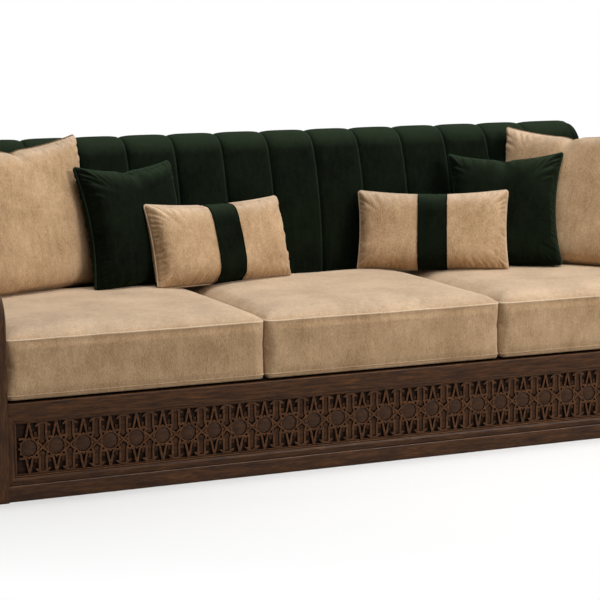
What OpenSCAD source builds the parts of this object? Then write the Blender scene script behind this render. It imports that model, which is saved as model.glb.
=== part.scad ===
// Three-seat upholstered booth: walnut bench with a carved star lattice,
// bentwood arms, fluted back, loose seat cushions and six loose pillows.
// +X runs to the right along the seat, +Y to the rear, +Z up; the floor is Z = 0.

/* [Overall] */
// Clear width between the two arms
inner_w = 2209; // [2040:1:2500]
// Depth from the front of the arms to the outside back
depth = 917; // [890:1:980]
// Height of the back above the floor
height = 873; // [850:1:920]

/* [Base] */
// Top of the front rail above the floor
base_h = 260; // [250:1:280]
// Height of the plinth skirt
skirt_h = 42; // [34:1:50]
// Height of the plain rail above the carved panel
rail_h = 30; // [24:1:36]
// Thickness of the structural boards
board_t = 20; // [18:1:22]
// How far the arms stand proud of the rail
arm_proud = 12; // [6:1:18]
// How far the skirt stands proud of the rail
skirt_proud = 4; // [2:1:6]

/* [Carved panel] */
// Width of the mitred moulding round the panel
moulding_w = 19; // [15:1:24]
// Width of the small bead inside the moulding
bead_w = 5; // [3:1:7]
// Depth of the lattice behind the moulding's face
recess = 9; // [6:1:12]
// Spacing that the star medallions are set out to
star_spacing = 74.6; // [70:0.2:90]
// Diameter of a medallion
medallion_d = 43.6; // [38:0.2:46]
// Width of a lattice strap
strap_w = 5.2; // [4.4:0.1:6]
// Thickness of the lattice straps
strap_t = 7; // [5:0.5:9]

/* [Arms] */
// Width of an arm, seen from the front
arm_w = 65; // [55:1:80]
// Height of the armrest above the floor
arm_h = 567; // [540:1:600]
// Thickness of the bent strap
arm_t = 45; // [38:1:50]
// Outer radius of the bend
bend_r = 105; // [90:1:130]

/* [Seat] */
// Height of a seat cushion up to its piping
cushion_h = 156; // [140:1:175]
// Rise of the crown above the piping
crown_h = 29; // [15:1:36]
// Gap between neighbouring cushions
cushion_gap = 1.6; // [1.2:0.2:4]

/* [Back] */
// Width of one flute
flute_w = 154.5; // [140:0.5:180]
// Depth of the groove between flutes
flute_d = 12; // [8:1:16]
// Thickness of the back at the seat
back_t = 211; // [205:1:230]
// Lean of the back's face where the crest starts, in degrees
back_lean = 20; // [20:1:24]
// Radius of the roll at the front of the crest
roll_r = 91; // [80:1:100]

/* [Pillows] */
// Width of a large tan pillow between its corner tips
tan_w = 495; // [460:1:500]
// Height of a large tan pillow between its corner tips
tan_h = 438; // [420:1:450]
// Width of a green pillow between its corner tips
green_w = 366; // [345:1:380]
// Height of a green pillow between its corner tips
green_h = 366; // [340:1:380]
// Width of a lumbar pillow between its corner tips
lumbar_w = 466; // [440:1:475]
// Height of a lumbar pillow between its corner tips
lumbar_h = 251; // [230:1:260]
// Width of the band round a lumbar pillow
band_w = 88; // [70:1:100]

/* [Hidden] */

// Colours of the finishes
walnut = "#4a2e20";
walnut_dark = "#33211a";
plywood = "#b98f5f";
tan_velvet = "#c4a67c";
green_velvet = "#14241b";
black_cloth = "#222222";
elastic = "#8d8d86";
steel = "#9a9da1";

// Planes that the pieces share
half_w = inner_w / 2;
outer_x = half_w + arm_w;
front_y = -depth / 2;
rear_y = depth / 2;
rail_y = front_y + arm_proud;
over = 1;             // overrun of a cutting tool past the piece that it cuts
soft_gap = 0.3;       // clearance between a soft piece and what it rests on
edge_r = 3;           // small softened edge of the wood

// Heights of the front, from the floor up
rail_bottom = base_h - rail_h;
frame_w = moulding_w + bead_w;
field_w = inner_w - 2 * frame_w;
field_h = rail_bottom - skirt_h - 2 * frame_w;
field_z = (rail_bottom + skirt_h) / 2;

// Depths of the front, from the rail's face to the rear
moulding_set = 1.5;   // moulding's face behind the rail's face
moulding_t = recess + strap_t;
backing_t = 12;       // thickness of the board behind the lattice
relief_t = 4;         // thickness of the low carving under the straps
rail_t = moulding_set + recess + strap_t + backing_t;
backing_y = rail_y + moulding_set + recess + strap_t;
apron_y = backing_y + backing_t;

// Deck and seat heights
web_t = 2;            // thickness of a webbing strap
apron_top = base_h - 2 * web_t;
deck_t = 7.7;         // thickness of the padded deck
deck_top = base_h + deck_t;
cushion_z = deck_top + soft_gap;
seat_pitch = inner_w / 3;
cushion_set = 9;      // front of a cushion behind the rail's face
cushion_fit = 1;      // clearance between a cushion and the back
back_front = rear_y - back_t;
cushion_front = rail_y + cushion_set;
cushion_d = back_front - cushion_fit - cushion_front;
piping_z = cushion_z + cushion_h;
pillow_gap = 0.8;     // clearance between a pillow and the seat under it

// Back frame
stile_t = 39;         // depth of an upright
stile_w = 60;         // width of an upright
top_rail_h = 60;      // height of the rail on top of the uprights
outside_t = 20;       // thickness of the padded outside back
back_board_t = 9;     // thickness of the board behind the flutes
end_t = 12;           // thickness of the padded ends of the back
back_end = half_w - soft_gap;
frame_half = back_end - end_t;
frame_drop = 101;     // top of the frame below the crest
frame_top = height - frame_drop;
stile_y = rear_y - outside_t - stile_t;
board_y = stile_y - back_board_t;
flutes = floor(inner_w / flute_w);

// Lattice set out in whole stars
stars = round(field_w / star_spacing);
star_pitch = field_w / stars;
star_fit = 0.5;       // clearance round a medallion
border_w = 3;         // plain edge of the lattice

// Softened bar along X: w deep in Y, h high in Z, its front top edge eased
module eased_bar(length, w, h, ease) {
    rotate([90, 0, 90])
        linear_extrude(length)
            polygon([[0, 0], [w, 0], [w, h], [ease, h], [ease * 0.3, h - ease * 0.3], [0, h - ease]]);
}

module front_rail() {
    color(walnut)
        translate([-half_w, rail_y, rail_bottom])
            eased_bar(inner_w, rail_t, rail_h, edge_r);
}

module plinth_skirt() {
    color(walnut)
        translate([-half_w, rail_y - skirt_proud, 0])
            eased_bar(inner_w, apron_y - rail_y + skirt_proud, skirt_h, edge_r * 0.6);
}

// Moulding section: x across the width from the outside, y from the face to the rear
function moulding_points() = [
    [0, 0], [moulding_w * 0.72, 0], [moulding_w * 0.86, recess * 0.14], [moulding_w, recess * 0.3],
    [moulding_w, recess * 0.6], [moulding_w + bead_w * 0.3, recess * 0.42],
    [moulding_w + bead_w * 0.75, recess * 0.42], [frame_w, recess * 0.66],
    [frame_w, recess], [moulding_w, recess], [moulding_w, moulding_t], [0, moulding_t]
];

// One side of the mitred frame, its outer edge along X from 0 to length
module mitred_side(length) {
    difference() {
        rotate([90, 0, 90])
            linear_extrude(length)
                polygon([for (p = moulding_points()) [p[1], p[0]]]);
        for (side = [0, 1])
            translate([side * length, -over, 0])
                mirror([side, 0, 0])
                    rotate([0, 45, 0])
                        translate([-3 * frame_w, 0, -3 * frame_w])
                            cube([3 * frame_w, moulding_t + 2 * over, 6 * frame_w]);
    }
}

moulding_y = rail_y + moulding_set;
moulding_h = rail_bottom - skirt_h;

module moulding_bottom() {
    color(walnut)
        translate([-half_w, moulding_y, skirt_h])
            mitred_side(inner_w);
}

module moulding_top() {
    color(walnut)
        translate([-half_w, moulding_y, rail_bottom])
            mirror([0, 0, 1])
                mitred_side(inner_w);
}

module moulding_left() {
    color(walnut)
        translate([-half_w, moulding_y, skirt_h])
            mirror([1, 0, 0])
                rotate([0, -90, 0])
                    mitred_side(moulding_h);
}

module moulding_right() {
    color(walnut)
        translate([half_w, moulding_y, skirt_h])
            rotate([0, -90, 0])
                mitred_side(moulding_h);
}

module panel_backing() {
    color(walnut_dark)
        translate([-half_w, backing_y, skirt_h])
            cube([inner_w, backing_t, moulding_h]);
}

// Flat work on the panel: draws its children standing on the backing board, t thick
module on_backing(t) {
    translate([0, backing_y, field_z])
        rotate([90, 0, 0])
            linear_extrude(t)
                children();
}

// Straight strap from point a to point b
module strap(a, b) {
    d = b - a;
    translate(a)
        rotate(atan2(d[1], d[0]))
            translate([0, -strap_w / 2])
                square([norm(d), strap_w]);
}

// Places inside one star's tile
star_points = 12;     // points of the ring round a medallion
star_r = medallion_d * 0.69;
star_notch_r = medallion_d * 0.565;
joint_x = star_pitch / 2;
reach_r = medallion_d * 0.62;
joint_half = joint_x - reach_r * cos(30);
joint_rise = reach_r * sin(30);
stem_half = medallion_d * 0.22;
shoulder_z = star_r * sin(60);
arch_r = medallion_d * 0.5;
arch_z = (field_h - border_w - strap_w) / 2 - arch_r;
stem_end = arch_z + arch_r * 0.9;
boss_z = joint_rise * 1.35;
boss_r = medallion_d * 0.17;

function star_outline() = [
    for (i = [0 : 2 * star_points - 1])
        let (a = i * 180 / star_points, r = i % 2 == 0 ? star_r : star_notch_r)
            [r * cos(a), r * sin(a)]
];

module star_ring() {
    difference() {
        polygon(star_outline());
        circle(d = medallion_d + 2 * star_fit, $fn = 24);
    }
}

// Kites above and below a star, and the shoulders that lead to the stems
module star_rays() {
    for (sx = [-1, 1])
        for (sz = [-1, 1]) {
            strap([sx * star_r * 0.34, sz * star_r * 0.78], [0, sz * (field_h / 2 - border_w / 2)]);
            strap([sx * star_r * 0.36, sz * shoulder_z], [sx * (joint_x - stem_half), sz * shoulder_z]);
        }
}

// Crossing, flared stem sides and an arch above and below, on the line between two stars
module star_joint() {
    for (sz = [-1, 1])
        strap([-joint_half, sz * joint_rise], [joint_half, -sz * joint_rise]);
    for (sx = [-1, 1])
        for (sz = [-1, 1]) {
            strap([sx * joint_half, sz * joint_rise], [sx * stem_half, sz * shoulder_z]);
            strap([sx * stem_half, sz * (shoulder_z - strap_w / 2)], [sx * stem_half, sz * stem_end]);
        }
    for (sz = [-1, 1])
        scale([1, sz, 1])
            intersection() {
                translate([0, arch_z])
                    difference() {
                        circle(r = arch_r + strap_w / 2, $fn = 24);
                        circle(r = arch_r - strap_w / 2, $fn = 24);
                    }
                translate([-arch_r * 2, arch_z + arch_r * 0.55])
                    square([arch_r * 4, arch_r]);
            }
}

module lattice_border() {
    difference() {
        translate([-field_w / 2, -field_h / 2])
            square([field_w, field_h]);
        translate([-field_w / 2 + border_w, -field_h / 2 + border_w])
            square([field_w - 2 * border_w, field_h - 2 * border_w]);
    }
}

function star_x(i) = (i - (stars - 1) / 2) * star_pitch;

module star_lattice() {
    color(walnut)
        on_backing(strap_t) {
            lattice_border();
            for (i = [0 : stars - 1])
                translate([star_x(i), 0]) {
                    star_ring();
                    star_rays();
                }
            for (i = [0 : stars - 2])
                translate([star_x(i) + joint_x, 0])
                    star_joint();
        }
}

// Low carving: a boss above and below each crossing, a bar inside each stem and a cheek on each side
relief_fit = 0.4;     // clearance between the low carving and a strap
bar_half = stem_half * 0.66;
bar_top = arch_z + sqrt(pow(arch_r - strap_w / 2, 2) - pow(bar_half, 2)) - relief_fit;
cheek_w = medallion_d * 0.2;
cheek_h = medallion_d * 0.28;
cheek_z = shoulder_z + strap_w / 2 + relief_fit;

module lattice_relief() {
    color(walnut_dark)
        on_backing(relief_t)
            for (i = [0 : stars - 2])
                translate([star_x(i) + joint_x, 0])
                    for (sz = [-1, 1])
                        scale([1, sz, 1]) {
                            translate([0, boss_z])
                                circle(r = boss_r, $fn = 24);
                            translate([-bar_half, boss_z])
                                square([2 * bar_half, bar_top - boss_z]);
                            for (sx = [-1, 1])
                                translate([sx * (stem_half + cheek_w) - cheek_w / 2, cheek_z])
                                    square([cheek_w, cheek_h]);
                        }
}

// Turned medallion: a shallow dome with a small dimple in the middle
dome_h = 3;           // rise of a medallion's dome
dimple_r = 1.6;       // radius of the dimple
dimple_h = 1.2;       // depth of the dimple
medallion_edge = strap_t - dome_h;

function dome_points(n) = [
    for (i = [0 : n])
        let (r = medallion_d / 2 + (dimple_r - medallion_d / 2) * i / n)
            [r, medallion_edge + dome_h * (1 - pow(2 * r / medallion_d, 2))]
];

module medallion() {
    rotate_extrude($fn = 48)
        polygon(concat([[0, 0], [medallion_d / 2, 0]], dome_points(4),
            [[0, medallion_edge + dome_h - dimple_h]]));
}

module star_medallions() {
    color(walnut)
        translate([0, backing_y, field_z])
            for (i = [0 : stars - 1])
                translate([star_x(i), 0, 0])
                    rotate([90, 0, 0])
                        medallion();
}

module front_apron() {
    color(plywood)
        translate([-half_w + board_t, apron_y, skirt_h])
            cube([inner_w - 2 * board_t, board_t, apron_top - skirt_h]);
}

module rear_apron() {
    color(walnut)
        translate([-half_w, rear_y - outside_t, 0])
            cube([inner_w, outside_t, base_h]);
}

// Bolts that hold an arm: [share of the depth, share of the height of the end board]
bolt_shares = [[-0.36, 0.22], [-0.36, 0.6], [0.36, 0.22], [0.36, 0.6]];
bolt_d = 8;           // shank of a bolt
bolt_fit = 0.3;       // clearance round a bolt
head_d = 18;          // head of a bolt
head_h = 5;           // height of the head
nut_h = 6.5;          // height of a nut
panel_t = 18;         // thickness of an arm's boards
apron_h = apron_top - skirt_h;

// Places its children at the right-hand arm's bolts, with +Z along the bolt and out of the booth
module at_bolts() {
    for (p = bolt_shares)
        translate([half_w, p[0] * depth, skirt_h + p[1] * apron_h])
            rotate([0, 90, 0])
                children();
}

module right_end_apron() {
    difference() {
        translate([half_w - board_t, apron_y, skirt_h])
            cube([board_t, stile_y - apron_y, apron_h]);
        at_bolts()
            translate([0, 0, -board_t - over])
                cylinder(d = bolt_d + 2 * bolt_fit, h = board_t + 2 * over, $fn = 32);
    }
}

module end_apron_right() {
    color(plywood)
        right_end_apron();
}

module end_apron_left() {
    color(plywood)
        mirror([1, 0, 0])
            right_end_apron();
}

seat_rail_y = stile_y - 2 * board_t;
seat_rail_h = 60;     // height of the rail at the rear of the seat
cross_rail_h = 80;    // height of a cross rail
cross_rail_w = 32;    // width of a cross rail
leg_w = 60;           // side of a centre leg

module rear_seat_rail() {
    color(plywood)
        translate([-half_w + board_t, seat_rail_y, apron_top - seat_rail_h])
            cube([inner_w - 2 * board_t, 2 * board_t, seat_rail_h]);
}

module cross_rail(x) {
    color(plywood)
        translate([x - cross_rail_w / 2, apron_y + board_t, apron_top - cross_rail_h])
            difference() {
                cube([cross_rail_w, stile_y - apron_y - board_t, cross_rail_h]);
                translate([-over, seat_rail_y - apron_y - board_t, cross_rail_h - seat_rail_h])
                    cube([cross_rail_w + 2 * over, 2 * board_t + over, seat_rail_h + over]);
            }
}

module cross_rail_left() {
    cross_rail(-seat_pitch / 2);
}

module cross_rail_right() {
    cross_rail(seat_pitch / 2);
}

module centre_leg(x) {
    color(plywood)
        translate([x - leg_w / 2, -leg_w / 2, 0])
            cube([leg_w, leg_w, apron_top - cross_rail_h]);
}

module centre_leg_left() {
    centre_leg(-seat_pitch / 2);
}

module centre_leg_right() {
    centre_leg(seat_pitch / 2);
}

// Glued blocks in the two front and two rear corners of the bench
block_s = 70;         // side of a corner block
module corner_blocks() {
    color(plywood)
        for (sx = [-1, 1])
            scale([sx, 1, 1])
                for (end = [0, 1])
                    translate([half_w - board_t, end == 0 ? apron_y + board_t : seat_rail_y,
                        apron_top - seat_rail_h])
                        scale([-1, end == 0 ? 1 : -1, 1])
                            linear_extrude(seat_rail_h)
                                polygon([[0, 0], [block_s, 0], [0, block_s]]);
}

cover_t = 1;          // thickness of the cloth under the bench
cover_fit = 2;        // clearance round a centre leg
module dust_cover() {
    color(black_cloth)
        difference() {
            translate([-half_w, apron_y, skirt_h - cover_t])
                cube([inner_w, rear_y - outside_t - apron_y, cover_t]);
            for (x = [-seat_pitch / 2, seat_pitch / 2])
                translate([x - leg_w / 2 - cover_fit, -leg_w / 2 - cover_fit, skirt_h - cover_t - over])
                    cube([leg_w + 2 * cover_fit, leg_w + 2 * cover_fit, cover_t + 2 * over]);
            for (i = [0 : 3])
                translate([stile_x(i) - stile_w / 2 - cover_fit, stile_y - cover_fit,
                    skirt_h - cover_t - over])
                    cube([stile_w + 2 * cover_fit, stile_t + 2 * cover_fit, cover_t + 2 * over]);
        }
}

// Elastic webbing: straps from front to rear, and over them straps from end to end
web_w = 60;           // width of a strap
webs_across = 15;     // straps from front to rear
webs_along = 4;       // straps from end to end
module webbing_across() {
    color(elastic)
        for (i = [0 : webs_across - 1])
            translate([(i - (webs_across - 1) / 2) * (inner_w - web_w) / webs_across - web_w / 2,
                apron_y, apron_top])
                cube([web_w, stile_y - apron_y, web_t]);
}

module webbing_along() {
    color(elastic)
        for (i = [0 : webs_along - 1])
            translate([-half_w, apron_y + (i + 0.5) * (seat_rail_y - apron_y) / webs_along - web_w / 2,
                apron_top + web_t])
                cube([inner_w, web_w, web_t]);
}

module seat_deck() {
    color(black_cloth)
        translate([-half_w, apron_y, base_h])
            cube([inner_w, board_y - apron_y, deck_t]);
}

// Back frame: four uprights, a top rail and a board that the flutes are built on
function stile_x(i) = (i / 3 - 0.5) * (2 * frame_half - stile_w);

module back_stile(i) {
    color(plywood)
        translate([stile_x(i) - stile_w / 2, stile_y, 0])
            cube([stile_w, stile_t, frame_top - top_rail_h]);
}

module back_stile_1() {
    back_stile(0);
}

module back_stile_2() {
    back_stile(1);
}

module back_stile_3() {
    back_stile(2);
}

module back_stile_4() {
    back_stile(3);
}

module back_top_rail() {
    color(plywood)
        translate([-frame_half, stile_y, frame_top - top_rail_h])
            cube([2 * frame_half, stile_t, top_rail_h]);
}

module back_board() {
    color(plywood)
        translate([-frame_half, board_y, deck_top])
            cube([2 * frame_half, back_board_t, frame_top - deck_top]);
}

module outside_back() {
    color(green_velvet)
        translate([-frame_half, rear_y - outside_t, base_h])
            cube([2 * frame_half, outside_t, frame_top - base_h]);
}

// Outline of the fluted back in the Y-Z plane: [y, z, share of the flute's depth]
straight_top = piping_z + crown_h;
roll_z = height - roll_r;
sweep_top = roll_z + roll_r * sin(back_lean);
sweep_r = (sweep_top - straight_top) / sin(back_lean);
roll_y = back_front + sweep_r * (1 - cos(back_lean)) + roll_r * cos(back_lean);
rear_roll_r = rear_y - roll_y;

function back_outline() = concat(
    [[back_front, deck_top, 1]],
    [for (i = [0 : 3]) let (a = back_lean * i / 3)
        [back_front + sweep_r * (1 - cos(a)), straight_top + sweep_r * sin(a), 1]],
    [for (i = [1 : 4]) let (a = back_lean + (90 - back_lean) * i / 4)
        [roll_y - roll_r * cos(a), roll_z + roll_r * sin(a), 1]],
    [for (i = [1 : 3]) let (a = 30 * i)
        [roll_y + rear_roll_r * sin(a), height - rear_roll_r * (1 - cos(a)), 1 - i / 3]],
    [[rear_y, frame_top, 0], [board_y, frame_top, 0], [board_y, deck_top, 0]]
);

// Columns across the back: [x, share of the groove's depth, drop of the rounded end]
flute_steps = 5;      // spans across one flute
end_r = 36;           // radius of the rounded end of the crest
drop_share = 0.9;     // share of the height over the frame by which an end may drop
last_flute_w = inner_w - (flutes - 1) * flute_w;
round_shares = [0, 0.1, 0.28];
end_groove_share = 0.4;     // share of the groove's depth by which the flutes end

function groove(u) = pow(abs(2 * u - 1), 2.6);
function end_drop(x) = let (d = max(0, end_r - (half_w - abs(x)))) end_r - sqrt(end_r * end_r - d * d);
function flute_start(k) = -half_w + k * flute_w;
function flute_span(k) = k < flutes - 1 ? flute_w : last_flute_w;

function back_columns() = concat(
    [for (q = round_shares) [q * end_r - frame_half, end_groove_share * (1 - q)]],
    [for (k = [0 : flutes - 1]) for (i = [(k == 0 ? 1 : 0) : flute_steps - 1])
        [flute_start(k) + i / flute_steps * flute_span(k), groove(i / flute_steps)]],
    [for (q = [2 : -1 : 0]) [frame_half - round_shares[q] * end_r, end_groove_share * (1 - round_shares[q])]]
);

// A point of the outline moved inwards for the grooves and the rounded ends
function outline_normal(o, j) = let (
        n = len(o),
        a = o[(j + n - 1) % n],
        b = o[(j + 1) % n],
        t = [b[0] - a[0], b[1] - a[1]]
    ) [t[1], -t[0]] / norm(t);

function back_point(o, j, column) = let (
        p = o[j],
        nrm = outline_normal(o, j),
        inward = p[2] * flute_d * column[1],
        crest_share = max(0, min(1, (p[1] - straight_top) / (sweep_top - straight_top))),
        room = p[1] > frame_top ? drop_share * (p[1] - frame_top) : end_r,
        drop = p[2] == 0 && p[1] <= frame_top ? 0 : min(room, end_drop(column[0]) * crest_share)
    ) [column[0], p[0] + nrm[0] * inward, p[1] + nrm[1] * inward - drop];

module fluted_back() {
    o = back_outline();
    c = back_columns();
    n = len(o);
    m = len(c);
    points = [for (col = c) for (j = [0 : n - 1]) back_point(o, j, col)];
    walls = [for (i = [0 : m - 2]) for (j = [0 : n - 1])
        let (a = i * n + j, b = i * n + (j + 1) % n)
            each [[a, b, a + n], [b, b + n, a + n]]];
    left = [for (j = [n - 1 : -1 : 0]) j];
    right = [for (j = [0 : n - 1]) (m - 1) * n + j];
    color(green_velvet)
        polyhedron(points, concat(walls, [left, right]), convexity = 8);
}

// Padded end of the back: the outline at the last column, without the step for the frame
module right_back_end() {
    o = back_outline();
    points = [for (j = [0 : len(o) - 4]) back_point(o, j, [frame_half, end_groove_share])];
    translate([frame_half, 0, 0])
        rotate([90, 0, 90])
            linear_extrude(end_t)
                polygon(concat([for (p = points) [p[1], p[2]]], [[rear_y, deck_top]]));
}

module back_end_right() {
    color(green_velvet)
        right_back_end();
}

module back_end_left() {
    color(green_velvet)
        mirror([1, 0, 0])
            right_back_end();
}

// Section of the bent strap, its corners eased: x across the arm, y through the strap
function strap_section() = [
    [edge_r, 0], [arm_w - edge_r, 0], [arm_w, edge_r], [arm_w, arm_t - edge_r],
    [arm_w - edge_r, arm_t], [edge_r, arm_t], [0, arm_t - edge_r], [0, edge_r]
];

bend_z = arm_h - bend_r;
bend_y = front_y + bend_r;

module right_arm_frame() {
    translate([half_w, front_y, 0])
        linear_extrude(bend_z)
            polygon(strap_section());
    translate([half_w, bend_y, bend_z])
        rotate([0, 0, 90])
            rotate([90, 0, 0])
                mirror([0, 0, 1])
                    translate([0, 0, -arm_w])
                        rotate([0, 0, 90])
                            rotate_extrude(angle = 90, $fn = 96)
                                polygon([for (p = strap_section()) [bend_r - p[1], p[0]]]);
    translate([half_w, bend_y, arm_h])
        rotate([-90, 0, 0])
            linear_extrude(rear_y - bend_y)
                polygon(strap_section());
    translate([half_w, rear_y - arm_t, 0])
        linear_extrude(arm_h - arm_t)
            polygon(strap_section());
}

module arm_frame_right() {
    color(walnut)
        right_arm_frame();
}

module arm_frame_left() {
    color(walnut)
        mirror([1, 0, 0])
            right_arm_frame();
}

sill_h = 60;          // height of the rail at the foot of an arm
panel_l = depth - 2 * arm_t;
panel_h = arm_h - arm_t - sill_h;
panel_recess = 8;     // outer board behind the strap's face

module right_arm_sill() {
    translate([half_w, front_y + arm_t, 0])
        cube([arm_w, panel_l, sill_h]);
}

module arm_sill_right() {
    color(walnut)
        right_arm_sill();
}

module arm_sill_left() {
    color(walnut)
        mirror([1, 0, 0])
            right_arm_sill();
}

// Board that fills the arm, rounded where the strap bends
module arm_board(x) {
    r = bend_r - arm_t;
    translate([x, 0, sill_h])
        rotate([90, 0, 90])
            linear_extrude(panel_t)
                union() {
                    translate([-panel_l / 2 + r, 0])
                        square([panel_l - r, panel_h]);
                    translate([-panel_l / 2, 0])
                        square([panel_l, panel_h - r]);
                    translate([-panel_l / 2 + r, panel_h - r])
                        circle(r = r, $fn = 96);
                }
}

module right_arm_inner() {
    difference() {
        arm_board(half_w);
        at_bolts()
            translate([0, 0, -over])
                cylinder(d = bolt_d + 2 * bolt_fit, h = panel_t + 2 * over, $fn = 32);
    }
}

module arm_inner_right() {
    color(walnut)
        right_arm_inner();
}

module arm_inner_left() {
    color(walnut)
        mirror([1, 0, 0])
            right_arm_inner();
}

module arm_outer_right() {
    color(walnut)
        arm_board(outer_x - panel_recess - panel_t);
}

module arm_outer_left() {
    color(walnut)
        mirror([1, 0, 0])
            arm_board(outer_x - panel_recess - panel_t);
}

module arm_bolt() {
    translate([0, 0, -board_t - head_h])
        cylinder(d = head_d, h = head_h, $fn = 32);
    translate([0, 0, -board_t])
        cylinder(d = bolt_d, h = board_t + panel_t + nut_h, $fn = 32);
}

module arm_bolts() {
    color(steel)
        for (side = [0, 1])
            mirror([side, 0, 0])
                at_bolts()
                    arm_bolt();
}

module arm_nuts() {
    color(steel)
        for (side = [0, 1])
            mirror([side, 0, 0])
                at_bolts()
                    translate([0, 0, panel_t])
                        difference() {
                            cylinder(d = head_d, h = nut_h, $fn = 6);
                            translate([0, 0, -over])
                                cylinder(d = bolt_d + bolt_fit / 2, h = nut_h + 2 * over, $fn = 32);
                        }
}

// Seat cushion: rings of a rounded rectangle stacked from the bottom to the crown
// Crown: [inset, rise as a share of the crown]
crown_shares = [[0.011, 0], [0.034, 0.2], [0.084, 0.5], [0.164, 0.78], [0.264, 0.94], [0.384, 1]];
// Each ring: [inset, height as a share of the cushion, rise as a share of the crown]
ring_shares = concat(
    [[0.024, 0, 0], [0.004, 0.06, 0], [0, 0.5, 0], [0.004, 0.95, 0]],
    [for (c = crown_shares) [c[0], 1, c[1]]]
);
corner_r = 26;        // rounded upright corner of a cushion
corner_steps = 4;     // spans round one corner
side_steps = 4;       // spans along one side
cushion_w = seat_pitch - cushion_gap;

function ring_corner(cx, cy, r, from) = [
    for (i = [0 : corner_steps]) let (a = from + 90 * i / corner_steps) [cx + r * cos(a), cy + r * sin(a)]
];
function between(a, b) = [for (i = [1 : side_steps - 1]) a + (b - a) * i / side_steps];
function ring_points(hw, hd, r) = let (
        c1 = ring_corner(hw - r, hd - r, r, 0),
        c2 = ring_corner(r - hw, hd - r, r, 90),
        c3 = ring_corner(r - hw, r - hd, r, 180),
        c4 = ring_corner(hw - r, r - hd, r, 270)
    ) concat(c1, between(c1[corner_steps], c2[0]), c2, between(c2[corner_steps], c3[0]),
        c3, between(c3[corner_steps], c4[0]), c4, between(c4[corner_steps], c1[0]));

module seat_cushion(x) {
    rings = [for (s = ring_shares) let (
            inset = s[0] * cushion_d / 2
        ) [for (p = ring_points(cushion_w / 2 - inset, cushion_d / 2 - inset, corner_r))
            [p[0], p[1], s[1] * cushion_h + s[2] * crown_h]]];
    n = len(rings[0]);
    m = len(rings);
    middles = [[0, 0, 0], [0, 0, cushion_h + crown_h]];
    walls = [for (i = [0 : m - 2]) for (j = [0 : n - 1])
        let (a = i * n + j, b = i * n + (j + 1) % n)
            each [[a, a + n, b], [b, a + n, b + n]]];
    bottom = [for (j = [0 : n - 1]) [m * n, j, (j + 1) % n]];
    top = [for (j = [0 : n - 1]) [m * n + 1, (m - 1) * n + (j + 1) % n, (m - 1) * n + j]];
    points = concat([for (ring = rings) each ring], middles);
    color(tan_velvet)
        translate([x, cushion_front + cushion_d / 2, cushion_z])
            polyhedron(points, concat(walls, bottom, top), convexity = 4);
}

module seat_cushion_left() {
    seat_cushion(-seat_pitch);
}

module seat_cushion_middle() {
    seat_cushion(0);
}

module seat_cushion_right() {
    seat_cushion(seat_pitch);
}

// Height of the crown above the piping at a place on the seat
function crown_at(x, y) = let (
        middle = max(-1, min(1, round(x / seat_pitch))) * seat_pitch,
        across = cushion_w / 2 - abs(x - middle),
        along = min(y - cushion_front, cushion_front + cushion_d - y)
    ) crown_h * lookup(min(across, along) / (cushion_d / 2), crown_shares);

// Pillow: two crowned faces sewn together; its sides and top are drawn in between the corner tips,
// and its bottom seam is straight, because it stands on the seat
// size = [width, height, belly to the front, belly to the rear, sag of a long side]
tan_front = 72;       // belly of a large tan pillow to the front
tan_rear = 50;        // and to the rear
tan_sag = 26;         // how far its sides are drawn in
green_front = 68;     // belly of a green pillow to the front
green_rear = 46;      // and to the rear
green_sag = 18;       // how far its sides are drawn in
lumbar_front = 60;    // belly of a lumbar pillow to the front
lumbar_rear = 46;     // and to the rear
lumbar_sag = 12;      // how far its sides are drawn in
tan_size = [tan_w, tan_h, tan_front, tan_rear, tan_sag];
green_size = [green_w, green_h, green_front, green_rear, green_sag];
lumbar_size = [lumbar_w, lumbar_h, lumbar_front, lumbar_rear, lumbar_sag];
pillow_steps = 12;    // spans across a pillow
seam_t = 3;           // thickness of the sewn edge

function ease_step(i) = sin(90 * (2 * i / pillow_steps - 1));
function belly(s, t) = sqrt(max(0, 1 - s * s)) * sqrt(max(0, 1 - t * t))
    * (1 - 0.12 * (1 - abs(s)) * (1 - abs(t)));
function face_point(size, s, t, side) = [
    size[0] / 2 * s - sign(s) * pow(abs(s), 3) * size[4] * size[1] / size[0] * (1 - t * t),
    side * (seam_t / 2 * (1 - t * t) + belly(s, t) * (side < 0 ? size[2] : size[3])),
    size[1] / 2 * (t + 1) - pow(max(0, t), 3) * size[4] * (1 - s * s)
];

// Rolls a point in the pillow's own plane, leans it back, turns it about the vertical
// turn = [turn about the vertical, lean, roll], in degrees
function turn_point(p, turn) = let (
        x = p[0] * cos(turn[2]) - p[2] * sin(turn[2]),
        up = p[0] * sin(turn[2]) + p[2] * cos(turn[2]),
        y = p[1] * cos(turn[1]) + up * sin(turn[1]),
        z = up * cos(turn[1]) - p[1] * sin(turn[1])
    ) [x * cos(turn[0]) - y * sin(turn[0]), x * sin(turn[0]) + y * cos(turn[0]), z];

// Faces between the shares from and to of the width, so that a band can be cut from the same form
least_share = 0.02;   // narrowest span beside a cut
function pillow_columns(from, to) = let (
        inner = [for (i = [0 : pillow_steps])
            if (ease_step(i) > from + least_share && ease_step(i) < to - least_share) ease_step(i)]
    ) concat([from], inner, [to]);

function pillow_points(size, turn, from, to) = [for (s = pillow_columns(from, to))
    each concat(
        [for (i = [0 : pillow_steps]) turn_point(face_point(size, s, ease_step(i), -1), turn)],
        [for (i = [pillow_steps - 1 : -1 : 1]) turn_point(face_point(size, s, ease_step(i), 1), turn)])];

// Height at which the pillow just stands on the crowned seat
function seat_height(points, at) = max([for (p = points) crown_at(p[0] + at[0], p[1] + at[1]) - p[2]]);

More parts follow.
